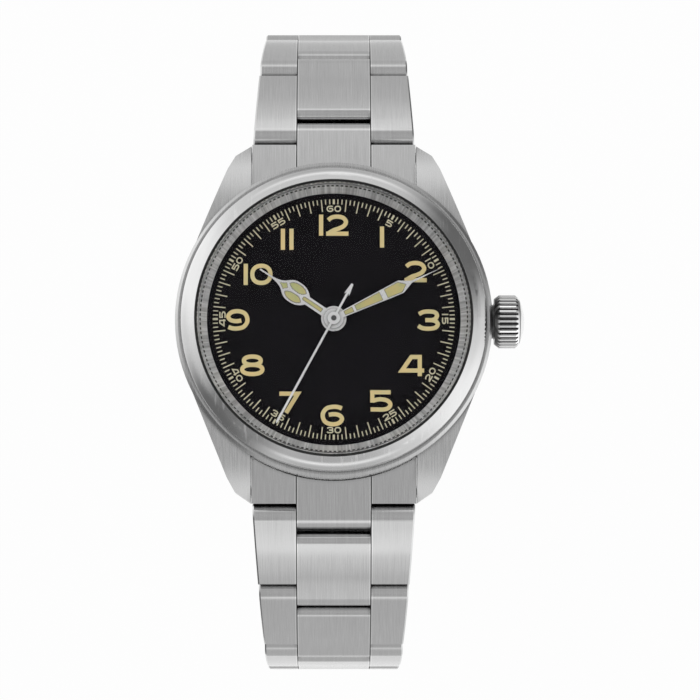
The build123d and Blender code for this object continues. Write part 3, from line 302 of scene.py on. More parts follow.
# %% [markdown]
# On the real watch the crystal's edge mirrors the minute track as a ring of dashes, with a
# bright line outside it. The crystal here gives no such reflection, so the chapter ring
# carries both marks as colour.

# %% Shared pattern: mirrored rim
rim_marks, given, result = start_group("rim_marks", [vector_input], ["Dashes", "Lip"])
dash_count = 180
dash_start, dash_end, dash_blur = 15.8 * mm, 16.0 * mm, 0.04 * mm
x, y, z = split(rim_marks, given["Vector"])
reach = off_axis(rim_marks, x, y)
rim_turn = maths(rim_marks, "ARCTAN2", y, x)
rim_wave = maths(rim_marks, "SINE", times(rim_marks, rim_turn, dash_count))
dash_ring = band(
    rim_marks, reach, dash_start, dash_start + dash_blur, dash_end - dash_blur, dash_end
)
dashes = times(rim_marks, dash_ring, spread(rim_marks, rim_wave, -0.5, 0.1))
join(rim_marks, dashes, result["Dashes"])
join(rim_marks, spread(rim_marks, reach, dash_end, dash_end + dash_blur), result["Lip"])

# %% [markdown]
# Each material starts the same way: a Principled shader, and the object's own coordinates for
# the patterns. Object coordinates are in metres here, so a line 0.1 mm wide is a real 0.1 mm.

# %% Material helpers


def start_material(name, colour, metallic, roughness):
    material = bpy.data.materials.new(name)
    material.use_nodes = True
    tree = material.node_tree
    shader = tree.nodes["Principled BSDF"]
    shader.inputs["Base Color"].default_value = colour
    shader.inputs["Metallic"].default_value = metallic
    shader.inputs["Roughness"].default_value = roughness
    place = add_node(tree, "ShaderNodeTexCoord").outputs["Object"]
    return material, tree, shader, place


def use_group(tree, group, place, **inputs):
    node = add_node(tree, "ShaderNodeGroup", node_tree=group)
    if place:
        join(tree, place, node.inputs["Vector"])
    for name, value in inputs.items():
        node.inputs[name].default_value = value
    return node.outputs


def dress(tree, shader, colour, roughness):
    join(tree, colour, shader.inputs["Base Color"])
    join(tree, roughness, shader.inputs["Roughness"])


def add_bump(tree, shader, height, distance):
    bump = add_node(tree, "ShaderNodeBump")
    bump.inputs["Strength"].default_value = 1.0
    bump.inputs["Distance"].default_value = distance
    join(tree, height, bump.inputs["Height"])
    join(tree, bump.outputs[0], shader.inputs["Normal"])


# %% [markdown]
# The bracelet, lugs and clasp are brushed along the wrist. The lines show as fine light and dark
# streaks, change the gloss a little, and stand a few micrometres proud.

# %% Brushed steel
# The reach and grey of the painted shade in crevices, which the dark joint lines share.
crevice_shade_reach = 0.6 * mm
joint_and_shade_grey, painted_highlight_grey = 0.1, 0.85
line_height = 0.0014 * mm


def make_brushed(name, colour, dark, stretch, roughness, rows=False):
    material, tree, shader, place = start_material(name, grey(colour), 1.0, roughness)
    lines = use_group(tree, brushed_lines, place, Stretch=stretch)
    shade = maths(tree, "ADD", lines["Lines"], times(tree, lines["Patches"], 0.4))
    metal = blend_colours(tree, spread(tree, shade, 0.2, 1.2), grey(dark), grey(colour))
    # Painted shade: the colour darkens where a point is closed in.
    joints_and_shade = use_group(tree, painted_crevice_shade, None, Reach=crevice_shade_reach)["Shade"]
    # On the links a dark joint line runs between the rows, with a painted highlight on each side.
    if rows:
        marks = use_group(tree, link_seams, place)
        joints_and_shade = maths(tree, "MAXIMUM", joints_and_shade, marks["Seam"])
        edge_highlight_share = times(tree, marks["Edge"], 0.6)
        metal = blend_colours(tree, edge_highlight_share, metal, grey(painted_highlight_grey))
    rough = spread(tree, lines["Lines"], 0.2, 0.8, roughness - 0.05, roughness + 0.05)
    dress(tree, shader, blend_colours(tree, joints_and_shade, metal, grey(joint_and_shade_grey)), rough)
    add_bump(tree, shader, lines["Lines"], line_height)
    return material


brushed_along = make_brushed(
    "steel_brushed_along", 0.58, 0.47, stretch=(14000.0, 260.0, 260.0), roughness=0.27
)
brushed_links = make_brushed(
    "steel_brushed_links", 0.6, 0.5, stretch=(22000.0, 260.0, 260.0), roughness=0.16, rows=True
)
print("brushed finishes:", brushed_along.name, brushed_links.name)

# %% [markdown]
# The bezel and the crown are polished on a felt wheel. They mirror the studio, with hairlines
# and a little haze on top.

# %% Polished steel
# Worn scratches are pale; the flute and collar greys are painted shade on the crown.
scratch_grey, flute_shade_grey, collar_shade_grey = 0.9, 0.02, 0.1
scratch_share = 0.1
scratch_height = 0.0006 * mm


def make_polished(name, colour, roughness, groove_shade_reach, groove_shade_colour, fluted=False):
    material, tree, shader, place = start_material(name, grey(colour), 1.0, roughness)
    marks = use_group(tree, hairlines, place)
    scratched = times(tree, marks["Scratches"], scratch_share)
    tint = blend_colours(tree, scratched, grey(colour), grey(scratch_grey))
    # The crown's flutes, its collar and the line round its cap are darkened as painted shade.
    if fluted:
        flutes = use_group(tree, crown_flutes, place)
        tint = blend_colours(tree, flutes["Groove"], tint, grey(flute_shade_grey))
        tint = blend_colours(tree, flutes["Collar"], tint, grey(collar_shade_grey))
    # Painted shade: the colour darkens where a point is closed in, as in grooves and at steps.
    groove_shade = use_group(tree, painted_crevice_shade, None, Reach=groove_shade_reach)["Shade"]
    haze = spread(tree, marks["Haze"], 0.35, 0.7, roughness * 0.6, roughness * 1.8)
    rough = maths(tree, "ADD", haze, times(tree, marks["Scratches"], 0.1))
    dress(tree, shader, blend_colours(tree, groove_shade, tint, grey(groove_shade_colour)), rough)
    add_bump(tree, shader, marks["Scratches"], scratch_height)
    return material


polished_bezel = make_polished("steel_polished_bezel", 0.6, 0.14, 0.3 * mm, 0.25)
polished_crown = make_polished("steel_polished_crown", 0.85, 0.12, 0.4 * mm, 0.03, fluted=True)
hand_steel = make_polished("steel_hands", 0.74, 0.3, 0.45 * mm, 0.06)
arbor_steel = make_polished("steel_arbor", 0.1, 0.3, 0.15 * mm, 0.03)
second_steel = make_polished("steel_second_hand", 0.8, 0.3, 0.15 * mm, 0.06)

# %% [markdown]
# The chapter ring and the case back are turned on a lathe. Rings around the axis catch the light,
# and slow rays across them give the broken highlights of a turned surface.

# %% Turned steel
lip_grey, dash_grey = 0.9, 0.03
ring_height = 0.004 * mm


def make_turned(name, colour, dark, roughness, ray_share, metallic=1.0, rimmed=False):
    material, tree, shader, place = start_material(name, grey(colour), metallic, roughness)
    marks = use_group(tree, lathe_rings, place)
    rings = times(tree, marks["Rings"], 1.0 - ray_share)
    shade = maths(tree, "ADD", rings, times(tree, marks["Rays"], ray_share))
    metal = blend_colours(tree, spread(tree, shade, 0.35, 0.65), grey(dark), grey(colour))
    if rimmed:
        rim = use_group(tree, rim_marks, place)
        metal = blend_colours(tree, rim["Lip"], metal, grey(lip_grey))
        metal = blend_colours(tree, rim["Dashes"], metal, grey(dash_grey))
    rough = spread(tree, marks["Rings"], 0.3, 0.7, roughness - 0.08, roughness + 0.08)
    dress(tree, shader, metal, rough)
    add_bump(tree, shader, marks["Rings"], ring_height)
    return material


turned_ring = make_turned("steel_turned_ring", 0.8, 0.4, 0.4, 0.8, metallic=0.4, rimmed=True)
turned_back = make_turned("steel_turned_back", 0.66, 0.48, 0.28, 0.35)
turned_movement = make_turned("steel_turned_movement", 0.7, 0.5, 0.25, 0.4)

# %% [markdown]
# The crystal is clear mineral glass with a coating that stops most reflections, so the specular
# level is turned down. Shadow rays pass straight through it, as light through real glass does,
# because a path tracer can't find the lamps through a curved lens.

# %% Crystal
glass, glass_tree, glass_shader, glass_place = start_material("glass_coated", grey(1.0), 0.0, 0.0)
glass_shader.inputs["Transmission Weight"].default_value = 1.0
glass_shader.inputs["IOR"].default_value = 1.5
glass_shader.inputs["Specular IOR Level"].default_value = 0.05
glass_shader.inputs["Specular Tint"].default_value = grey(0.06)
glass_scratches = use_group(glass_tree, hairlines, glass_place)["Scratches"]
join(glass_tree, times(glass_tree, glass_scratches, 0.008), glass_shader.inputs["Roughness"])
see_through = add_node(glass_tree, "ShaderNodeBsdfTransparent")
light_path = add_node(glass_tree, "ShaderNodeLightPath")
glass_mix = add_node(glass_tree, "ShaderNodeMixShader")
glass_kinds = (light_path.outputs["Is Shadow Ray"], glass_shader.outputs[0], see_through.outputs[0])
feed(glass_tree, glass_mix.inputs, glass_kinds)
join(glass_tree, glass_mix.outputs[0], glass_tree.nodes["Material Output"].inputs["Surface"])

# %% [markdown]
# Painted and moulded surfaces: the dial's black lacquer, the cream print, the aged lume in the
# hands with a grey line of painted shade round it, the rubber gaskets and the plastic movement
# holder.

# %% Paint, lume, rubber and plastic


def make_grained(name, colour, second, roughness, scale, height, gloss=0.3):
    material, tree, shader, place = start_material(name, (*colour, 1.0), 0.0, roughness)
    shader.inputs["Specular IOR Level"].default_value = gloss
    marks = use_group(tree, grain, place, Scale=scale)
    share = maths(tree, "ADD", times(tree, marks["Speckle"], 0.5), marks["Cloud"])
    paint = blend_colours(tree, spread(tree, share, 0.6, 0.95), (*colour, 1.0), (*second, 1.0))
    rough = spread(tree, marks["Speckle"], 0.3, 0.7, roughness - 0.06, roughness + 0.06)
    dress(tree, shader, paint, rough)
    add_bump(tree, shader, marks["Speckle"], height)
    return material


dial_black = make_grained(
    "dial_lacquer", (0.0052, 0.0046, 0.006), (0.007, 0.0062, 0.008), 0.5, 9000.0, 0.0004 * mm,
    gloss=0.03,
)
print_cream = make_grained(
    "print_cream", (0.62, 0.58, 0.42), (0.55, 0.52, 0.36), 0.6, 9000.0, 0.004 * mm
)
numeral_gold = make_grained(
    "print_numerals", (0.74, 0.58, 0.27), (0.66, 0.58, 0.3), 0.55, 7000.0, 0.003 * mm
)
aged_lume = make_grained(
    "lume_aged", (0.56, 0.47, 0.2), (0.42, 0.45, 0.2), 0.7, 5000.0, 0.012 * mm
)
# The grey line round the lume is painted shade.
lume_edge_shade = make_grained(
    "lume_edge_shade", (0.2, 0.19, 0.14), (0.27, 0.26, 0.2), 0.5, 6000.0, 0.004 * mm
)
black_rubber = make_grained(
    "rubber_black", (0.02, 0.02, 0.02), (0.035, 0.035, 0.035), 0.6, 5000.0, 0.01 * mm
)
holder_plastic = make_grained(
    "plastic_holder", (0.72, 0.71, 0.66), (0.66, 0.65, 0.6), 0.45, 3000.0, 0.01 * mm
)

# %% [markdown]
# A watch movement's plate and wheels are gilt brass, and its bridges are plated steel with wide
# polished stripes. The ruby is a hard red stone under a clear coat.

# %% Movement metals and ruby
gilt, gilt_tree, gilt_shader, gilt_place = start_material(
    "brass_gilt", (0.72, 0.5, 0.22, 1.0), 1.0, 0.3
)
gilt_marks = use_group(gilt_tree, grain, gilt_place, Scale=9000.0)
dress(
    gilt_tree,
    gilt_shader,
    blend_colours(gilt_tree, gilt_marks["Cloud"], (0.62, 0.42, 0.17, 1.0), (0.8, 0.58, 0.28, 1.0)),
    spread(gilt_tree, gilt_marks["Speckle"], 0.3, 0.7, 0.22, 0.4),
)
add_bump(gilt_tree, gilt_shader, gilt_marks["Speckle"], 0.006 * mm)

striped, striped_tree, striped_shader, striped_place = start_material(
    "steel_striped", grey(0.68), 1.0, 0.22
)
stripes = add_node(striped_tree, "ShaderNodeTexWave", wave_type="BANDS", bands_direction="DIAGONAL")
stripes.inputs["Scale"].default_value = 160.0
stripes.inputs["Distortion"].default_value = 0.0
join(striped_tree, striped_place, stripes.inputs["Vector"])
stripe_stretch = (4000.0, 4000.0, 300.0)
stripe_lines = use_group(striped_tree, brushed_lines, striped_place, Stretch=stripe_stretch)
dress(
    striped_tree,
    striped_shader,
    blend_colours(striped_tree, stripes.outputs["Fac"], grey(0.5), grey(0.74)),
    spread(striped_tree, stripe_lines["Lines"], 0.2, 0.8, 0.16, 0.3),
)
add_bump(striped_tree, striped_shader, stripes.outputs["Fac"], 0.02 * mm)

ruby, ruby_tree, ruby_shader, ruby_place = start_material(
    "ruby", (0.62, 0.02, 0.09, 1.0), 0.0, 0.05
)
ruby_shader.inputs["Coat Weight"].default_value = 1.0
ruby_cloud = use_group(ruby_tree, grain, ruby_place, Scale=2500.0)["Cloud"]
ruby_colour = blend_colours(ruby_tree, ruby_cloud, (0.5, 0.01, 0.06, 1.0), (0.75, 0.04, 0.14, 1.0))
join(ruby_tree, ruby_colour, ruby_shader.inputs["Base Color"])

# %% [markdown]
# Now each part takes its finish. The names are those of the CAD model.

# %% Hand out the finishes
finishes = {
    "bezel": polished_bezel,
    "crown": polished_crown,
    "crown_tube": polished_crown,
    "crystal": glass,
    "crystal_gasket": black_rubber,
    "case_back_gasket": black_rubber,
    "chapter_ring": turned_ring,
    "case_back": turned_back,
    "dial": dial_black,
    "hour_hand": hand_steel,
    "minute_hand": hand_steel,
    "second_hand": second_steel,
    "second_arbor": arbor_steel,
    "hour_hand_lume": aged_lume,
    "minute_hand_lume": aged_lume,
    "hour_wheel": gilt,
    "cannon_pinion": turned_movement,
    "main_plate": gilt,
    "mainspring_barrel": gilt,
    "train_wheel": gilt,
    "balance_wheel": gilt,
    "train_bridge": striped,
    "balance_cock": striped,
    "rotor": striped,
    "rotor_bearing": turned_movement,
    "winding_stem": turned_movement,
    "stem_yoke": turned_movement,
    "balance_jewel": ruby,
    "movement_holder": holder_plastic,
}
for name, part in parts.items():
    rest = brushed_links if name.startswith(("link_", "end_link_")) else brushed_along
    finish = finishes.get(name, rest)
    part.data.materials.clear()
    part.data.materials.append(finish)
print("parts left in brushed steel:", sorted(set(parts) - set(finishes)))

# %% [markdown]
# The dial is printed. On the real watch a soft pad lays on thick paint, in one pass for the
# numerals and another for the minute track. Every figure is a stroke of constant width with
# square ends, so a pen is drawn here: a short edge, pulled from point to point by extrusion.
# A font would be quicker, but it would bring its own shapes, and these are wide and round.

# %% The printing pen


def rounded(points, steps=8):
    """Points along a smooth line through the given ones."""
    ends = [points[0], *points, points[-1]]
    line = []
    for a, b, c, d in zip(ends, ends[1:], ends[2:], ends[3:]):
        for count in range(steps):
            t = count / steps
            line.append(
                tuple(
                    b[i]
                    + t * (c[i] - a[i]) / 2
                    + t * t * (a[i] - 2.5 * b[i] + 2 * c[i] - d[i] / 2)
                    + t**3 * (1.5 * (b[i] - c[i]) + (d[i] - a[i]) / 2)
                    for i in (0, 1)
                )
            )
    return line + [points[-1]]


def oval(middle, half_width, half_height, steps=40):
    """A closed oval, slightly squared, that starts and ends at one point."""
    line = []
    for count in range(steps):
        turn = 2 * math.pi * count / steps
        c, s = math.cos(turn), math.sin(turn)
        line.append(
            (
                middle[0] + half_width * math.copysign(abs(c) ** 0.9, c),
                middle[1] + half_height * math.copysign(abs(s) ** 0.9, s),
            )
        )
    return line + [line[0]]


def pen_stroke(paint, points, width):
    """Pulls an edge as wide as the pen along the points, with mitred corners."""
    path = [Vector((x, y, 0)) for x, y in points]
    same_place, least_mitre = 0.0001, 0.42
    closed = (path[0] - path[-1]).length < same_place
    edge, last, last_across = None, None, None
    for index, here in enumerate(path):
        ahead = path[min(index + 1, len(path) - 1)] - here
        behind = here - path[max(index - 1, 0)]
        if closed and index == 0:
            behind = here - path[-2]
        if closed and index == len(path) - 1:
            ahead = path[1] - here
        way_in = (behind if behind.length else ahead).normalized()
        way_out = (ahead if ahead.length else behind).normalized()
        middle = (way_in + way_out).normalized()
        mitre = max(middle.dot(way_in), least_mitre)
        across = Vector((-middle.y, middle.x, 0)) * width / 2 / mitre
        if edge is None:
            edge = paint.edges.new([paint.verts.new(here + across), paint.verts.new(here - across)])
        else:
            pulled = bmesh.ops.extrude_edge_only(paint, edges=[edge])["geom"]
            for corner in (v for v in pulled if isinstance(v, bmesh.types.BMVert)):
                left = (corner.co - last).dot(last_across) > 0
                corner.co = here + across if left else here - across
            edge = next(e for e in pulled if isinstance(e, bmesh.types.BMEdge))
        last, last_across = here, across


# %% [markdown]
# The ten figures, in millimetres about each figure's middle, for a height of 2.5 mm. Each has its
# width and its strokes. A nine is a six turned by half a turn.

# %% Figures
pen_width = 0.5
stroke_lift = 0.006
six = [
    (1.12, 0.84), (0.7, 1.0), (0.1, 1.04), (-0.65, 0.86), (-1.1, 0.3), (-1.1, -0.3),
    (-0.75, -0.82), (0.0, -1.04), (0.75, -0.9), (1.14, -0.45), (0.95, -0.05), (0.5, 0.13),
    (0.0, 0.15), (-0.42, 0.08),
]
figures = {
    "0": (2.66, [oval((0, 0), 1.08, 1.03)]),
    "1": (0.5, [[(0, -1.27), (0, 1.27)]]),
    "2": (
        2.75,
        [
            rounded(
                [
                    (-1.06, 0.6), (-0.62, 0.93), (0.05, 1.03), (0.72, 0.88), (1.06, 0.42),
                    (0.84, -0.06), (0.27, -0.38), (-0.37, -0.6), (-0.82, -0.85), (-1.02, -1.0),
                ]
            ),
            [(-1.3, -1.03), (1.36, -1.03)],
        ],
    ),
    "3": (
        2.8,
        [
            rounded(
                [
                    (-1.1, 0.7), (-0.6, 0.97), (0.1, 1.03), (0.78, 0.93), (1.04, 0.56),
                    (0.82, 0.14), (0.4, 0.0),
                ]
            )
            + [(-0.36, 0.0)],
            rounded(
                [
                    (0.35, 0.0), (0.88, -0.14), (1.13, -0.5), (0.84, -0.9), (0.1, -1.03),
                    (-0.7, -0.96), (-1.2, -0.68),
                ]
            ),
        ],
    ),
    "4": (
        3.1,
        [
            [(0.98, -1.27), (0.98, 1.02), (-0.02, 1.02), (-1.14, -0.6), (0.8, -0.6)],
            [(0.7, -0.6), (1.5, -0.6)],
        ],
    ),
    "5": (
        2.75,
        [
            [(-1.04, -0.2), (-1.04, 1.02), (1.14, 1.02)],
            rounded(
                [
                    (-1.0, -0.02), (-0.5, 0.14), (0.05, 0.18), (0.75, 0.02), (1.1, -0.4),
                    (0.86, -0.85), (0.3, -1.03), (-0.5, -1.03), (-1.25, -1.02),
                ]
            ),
        ],
    ),
    "6": (2.8, [rounded(six)]),
    "7": (2.65, [[(-1.28, 1.02), (0.92, 1.02), (-0.48, -1.27)]]),
    "8": (2.9, [oval((0, 0.55), 1.0, 0.49), oval((0, -0.5), 1.2, 0.55)]),
    "9": (2.8, [rounded([(-x, -y) for x, y in six])]),
}


def print_number(paint, text, place, turn, size, gap):
    """Prints a number about a place, turned, at a share of the figures' size.

    Where two strokes of a figure cross, the second lies a hair above the first.
    """
    widths = [figures[letter][0] for letter in text]
    start = -(sum(widths) + gap * (len(text) - 1)) / 2
    for letter, width in zip(text, widths):
        before = set(paint.verts)
        for lift, stroke in enumerate(figures[letter][1]):
            earlier = set(paint.verts)
            pen_stroke(paint, stroke, pen_width)
            newest = [v for v in paint.verts if v not in earlier]
            bmesh.ops.translate(paint, verts=newest, vec=(0, 0, lift * stroke_lift))
        fresh = [v for v in paint.verts if v not in before]
        bmesh.ops.translate(paint, verts=fresh, vec=(start + width / 2, 0, 0))
        bmesh.ops.scale(paint, verts=fresh, vec=(size, size, 1))
        bmesh.ops.rotate(paint, verts=fresh, cent=(0, 0, 0), matrix=Matrix.Rotation(turn, 3, "Z"))
        bmesh.ops.translate(paint, verts=fresh, vec=(*place, 0))
        start += width + gap


# %% [markdown]
# Flat paint becomes a thin layer on the dial: the flat shape is welded where strokes close on
# themselves, pulled up by the paint's thickness, and joined to the case body. The pen draws in
# millimetres, so the layer is brought to metres at the end.

# %% Paint layers
dial_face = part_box("dial")[1].z
stroke_weld = 0.0005


def show_mesh(name, shape, material):
    """Makes a drawn shape an object of the scene."""
    mesh = bpy.data.meshes.new(name)
    shape.to_mesh(mesh)
    shape.free()
    mesh.materials.append(material)
    piece = bpy.data.objects.new(name, mesh)
    bpy.context.scene.collection.objects.link(piece)
    print(name, len(mesh.polygons), "faces")
    return piece


def pull_up(shape, height):
    """Gives a flat shape its thickness."""
    pulled = bmesh.ops.extrude_face_region(shape, geom=shape.faces[:])["geom"]
    raised = [v for v in pulled if isinstance(v, bmesh.types.BMVert)]
    bmesh.ops.translate(shape, verts=raised, vec=(0, 0, height))


def lay_paint(name, paint, thickness, material):
    bmesh.ops.remove_doubles(paint, verts=paint.verts[:], dist=stroke_weld)
    pull_up(paint, thickness)
    bmesh.ops.scale(paint, verts=paint.verts[:], vec=(mm, mm, mm))
    bmesh.ops.translate(paint, verts=paint.verts[:], vec=(0, 0, dial_face))
    bmesh.ops.recalc_face_normals(paint, faces=paint.faces[:])
    piece = show_mesh(name, paint, material)
    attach(piece, "case")


def clock_point(reach, minutes):
    turn = math.radians(minutes * 6)
    return (reach * math.sin(turn), reach * math.cos(turn))


# %% [markdown]
# The hour numerals stand upright. Each has its own place, because a wide figure is set further
# in than a narrow one. The paint is thick, as luminous paint is.

# %% Hour numerals
numeral_places = {
    1: (5.75, 9.84), 2: (9.71, 5.69), 3: (11.24, -0.13), 4: (9.23, -5.56), 5: (5.61, -9.77),
    6: (-0.17, -11.52), 7: (-5.18, -9.94), 8: (-9.68, -5.53), 9: (-11.42, -0.1), 10: (-9.02, 5.35),
    11: (-5.56, 9.57), 12: (0.0, 11.27),
}
figure_gap, ones_gap = 0.28, 0.52
numeral_thickness = 0.06
paint = bmesh.new()
for hour, place in numeral_places.items():
    gap = ones_gap if hour == 11 else figure_gap
    print_number(paint, str(hour), place, 0, 1.0, gap)
lay_paint("dial_numerals", paint, numeral_thickness, numeral_gold)

# %% [markdown]
# The minute track has a long thin tick for each minute, two short ones between, and a short
# bold one at every fifth minute. The small minute numbers turn with the dial. Those in the
# lower half are turned round so that they read from below.

# %% Minute track
track_outer, short_inner, long_inner = 14.4, 13.8, 12.96
thin_tick, bold_tick = 0.13, 0.25
tick_thickness, number_thickness = 0.02, 0.03
paint = bmesh.new()
bold = bmesh.new()
for third in range(180):
    whole_minute, fifth_minute = third % 3 == 0, third % 15 == 0
    inner = long_inner if whole_minute and not fifth_minute else short_inner
    target, width = (bold, bold_tick) if fifth_minute else (paint, thin_tick)
    minute = third / 3
    pen_stroke(target, [clock_point(inner, minute), clock_point(track_outer, minute)], width)
lay_paint("dial_minute_ticks", paint, tick_thickness, print_cream)

number_reach = 13.25
small_size = 0.3
small_gap, small_ones_gap = 0.35, 0.9
for minute in range(5, 61, 5):
    turn = -math.radians(minute * 6)
    if 20 <= minute <= 40:
        turn += math.pi
    gap = small_ones_gap if "1" in str(minute) else small_gap
    print_number(bold, str(minute), clock_point(number_reach, minute), turn, small_size, gap)
lay_paint("dial_minute_numbers", bold, number_thickness, print_cream)

# %% [markdown]
# The lume is poured into windows in the hands, and a thin grey line of painted shade lies round it.
# A copy of each lume mesh is welded, its flat top is inset, and only the inset strip is kept.

# %% Painted shade round the lume
weld_distance = 0.001 * mm
shade_strip_width = 0.1 * mm
shade_strip_height = 0.012 * mm
for name in ("hour_hand_lume", "minute_hand_lume"):
    strip = bmesh.new()
    strip.from_mesh(parts[name].data)
    strip.transform(parts[name].matrix_world)
    bmesh.ops.remove_doubles(strip, verts=strip.verts[:], dist=weld_distance)
    strip.normal_update()
    lower = [face for face in strip.faces if face.normal.z < 0.9]
    bmesh.ops.delete(strip, geom=lower, context="FACES")
    bmesh.ops.dissolve_limit(strip, angle_limit=0.01, verts=strip.verts[:], edges=strip.edges[:])
    ring = bmesh.ops.inset_region(
        strip, faces=strip.faces[:], thickness=shade_strip_width, use_boundary=True
    )["faces"]
    inner = [face for face in strip.faces if face not in ring]
    bmesh.ops.delete(strip, geom=inner, context="FACES")
    pull_up(strip, shade_strip_height)
    bmesh.ops.recalc_face_normals(strip, faces=strip.faces[:])
    shade_strip_piece = show_mesh(name + "_edge_shade", strip, lume_edge_shade)
    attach(shade_strip_piece, name.removesuffix("_lume"))

# %% [markdown]
# The bezel's slope runs on up to the crystal. The CAD ring ends in a flat lip, so a slim sloped
# ring is spun on top of it, polished like the rest.

# %% Sloped lip of the bezel
lip_outer, lip_inner = 17.1 * mm, 16.62 * mm
lip_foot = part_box("bezel")[1].z
lip_top, lip_bottom = lip_foot + 0.14 * mm, lip_foot - 0.02 * mm
lip_section = (
    (lip_outer, 0, lip_foot), (lip_inner, 0, lip_top),
    (lip_inner, 0, lip_bottom), (lip_outer, 0, lip_bottom),
)


def spin_round(shape, corners, sides, steps):
    """Turns a section once round the watch's axis."""
    bmesh.ops.spin(
        shape, geom=corners + sides, cent=(0, 0, 0), axis=(0, 0, 1), angle=2 * math.pi,
        steps=steps, use_merge=True,
    )


lip_shape = bmesh.new()
corners = [lip_shape.verts.new(corner) for corner in lip_section]
sides = [lip_shape.edges.new((corners[i - 1], corners[i])) for i in range(4)]
spin_round(lip_shape, corners, sides, steps=288)
bmesh.ops.remove_doubles(lip_shape, verts=lip_shape.verts[:], dist=weld_distance)
bmesh.ops.recalc_face_normals(lip_shape, faces=lip_shape.faces[:])
sloped_lip = show_mesh("bezel_sloped_lip", lip_shape, polished_bezel)
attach(sloped_lip, "case")

# %% [markdown]
# The edges of real links are never knife sharp: a light pass on the wheel leaves a narrow round,
# which catches the light as a bright line. A bevel modifier does that to every sharp edge. The
# flat faces are then parted from the curved ones, so that each shades by itself.

# %% Broken edges
edge_round = 0.12 * mm
for name, part in parts.items():
    if name.startswith(("link_", "end_link_")):
        weld = part.modifiers.new("weld", "WELD")
        weld.merge_threshold = weld_distance
        broken = part.modifiers.new("broken_edges", "BEVEL")
        broken.width = edge_round
        broken.segments = 2
        broken.limit_method = "ANGLE"
        broken.angle_limit = math.radians(50)
        parted = part.modifiers.new("parted_faces", "EDGE_SPLIT")
        parted.split_angle = math.radians(25)
        evened = part.modifiers.new("evened_normals", "WEIGHTED_NORMAL")
        evened.mode = "FACE_AREA_WITH_ANGLE"
        evened.weight = 90

# %% [markdown]
# The studio. The watch hangs above a pale floor, and the camera looks straight at the dial from
# 400 mm away, a few degrees towards 6 o'clock. The shift only centres the picture as in the
# photograph.

# %% Camera
camera_distance = 400 * mm
camera_tilt = math.radians(6.5)
sensor_width = 36
picture_pixels = 700
pixels_per_mm = 8.36
shift_right, shift_down = 16.2, 30.5
dial_centre = Vector((0, 0, dial_face))
back = Vector((0, -math.sin(camera_tilt), math.cos(camera_tilt)))
upward = Vector((0, math.cos(camera_tilt), math.sin(camera_tilt)))
camera_data = bpy.data.cameras.new("camera")
camera = bpy.data.objects.new("camera", camera_data)
bpy.context.scene.collection.objects.link(camera)
camera_data.sensor_width = sensor_width
picture_mm = picture_pixels / pixels_per_mm
camera_data.lens = sensor_width * (camera_distance / mm) / picture_mm
camera_data.shift_x = shift_right / picture_pixels
camera_data.shift_y = -shift_down / picture_pixels
camera_data.clip_start = 0.01
camera_data.clip_end = 10
axes = Matrix((upward.cross(back), upward, back)).transposed()
camera.matrix_world = Matrix.Translation(dial_centre + back * camera_distance) @ axes.to_4x4()
bpy.context.scene.camera = camera
print("lens", round(camera_data.lens, 1), "mm")

# %% [markdown]
# The floor is a pale sheet 40 mm under the clasp, which leaves the bracelet room to open. It shows
# as white to the camera and in reflections, but part of it stays a plain painted surface, so that
# it takes a soft shadow.

# %% Floor
floor_height = cad_low.z - 40 * mm
floor_half_width = 3.0
glow_share = 0.96
pale, pale_tree, pale_shader = start_material("floor_pale", grey(0.85), 0.0, 0.9)[:3]
glow = add_node(pale_tree, "ShaderNodeEmission")
glow.inputs["Strength"].default_value = 1.0
pale_path = add_node(pale_tree, "ShaderNodeLightPath").outputs
seen = maths(pale_tree, "MAXIMUM", pale_path["Is Camera Ray"], pale_path["Is Glossy Ray"])
seen = maths(pale_tree, "MAXIMUM", seen, pale_path["Is Transmission Ray"])
pale_mix = add_node(pale_tree, "ShaderNodeMixShader")
pale_kinds = (times(pale_tree, seen, glow_share), pale_shader.outputs[0], glow.outputs[0])
feed(pale_tree, pale_mix.inputs, pale_kinds)
join(pale_tree, pale_mix.outputs[0], pale_tree.nodes["Material Output"].inputs["Surface"])

floor_sheet = bmesh.new()
bmesh.ops.create_grid(floor_sheet, x_segments=1, y_segments=1, size=floor_half_width)
bmesh.ops.translate(floor_sheet, verts=floor_sheet.verts[:], vec=(0, 0, floor_height))
floor = show_mesh("floor", floor_sheet, pale)

# %% [markdown]
# A bezel that mirrors only white looks like plastic. A photographer stands strips of grey card
# round the watch, so that the steel shows dark and bright sectors. Here the levels that steel
# mirrors are worked out from a direction: first by its turn from 12 o'clock, where two dark
# cards stand opposite each other and two bright panels likewise, then, towards 12 and 6 where
# the links look, by its height, and near the top they all run into one grey. The turn is folded
# in half, so one list of stops, in hours from 0 to 6, serves both sides. The heights run from -1,
# straight down, to 1, straight up.

# %% Shared pattern: studio levels
open_tent = 0.95
dark_card = 0.2
bright_panel = 1.4
overhead = 0.62
card_stops = [
    (0.0, open_tent), (0.6, open_tent), (1.5, dark_card), (2.1, dark_card), (2.9, 1.0),
    (3.6, bright_panel), (4.1, bright_panel), (4.9, open_tent), (6.0, open_tent),
]
height_levels = [
    (-1.0, 0.75), (0.0, 0.7), (0.2, 0.74), (0.36, 0.95), (0.52, 1.42), (0.68, 1.2), (0.84, 0.64),
    (1.0, 0.58),
]
turn_ramp = [(hour / 6, level) for hour, level in card_stops]
height_ramp = [((height + 1) / 2, level) for height, level in height_levels]

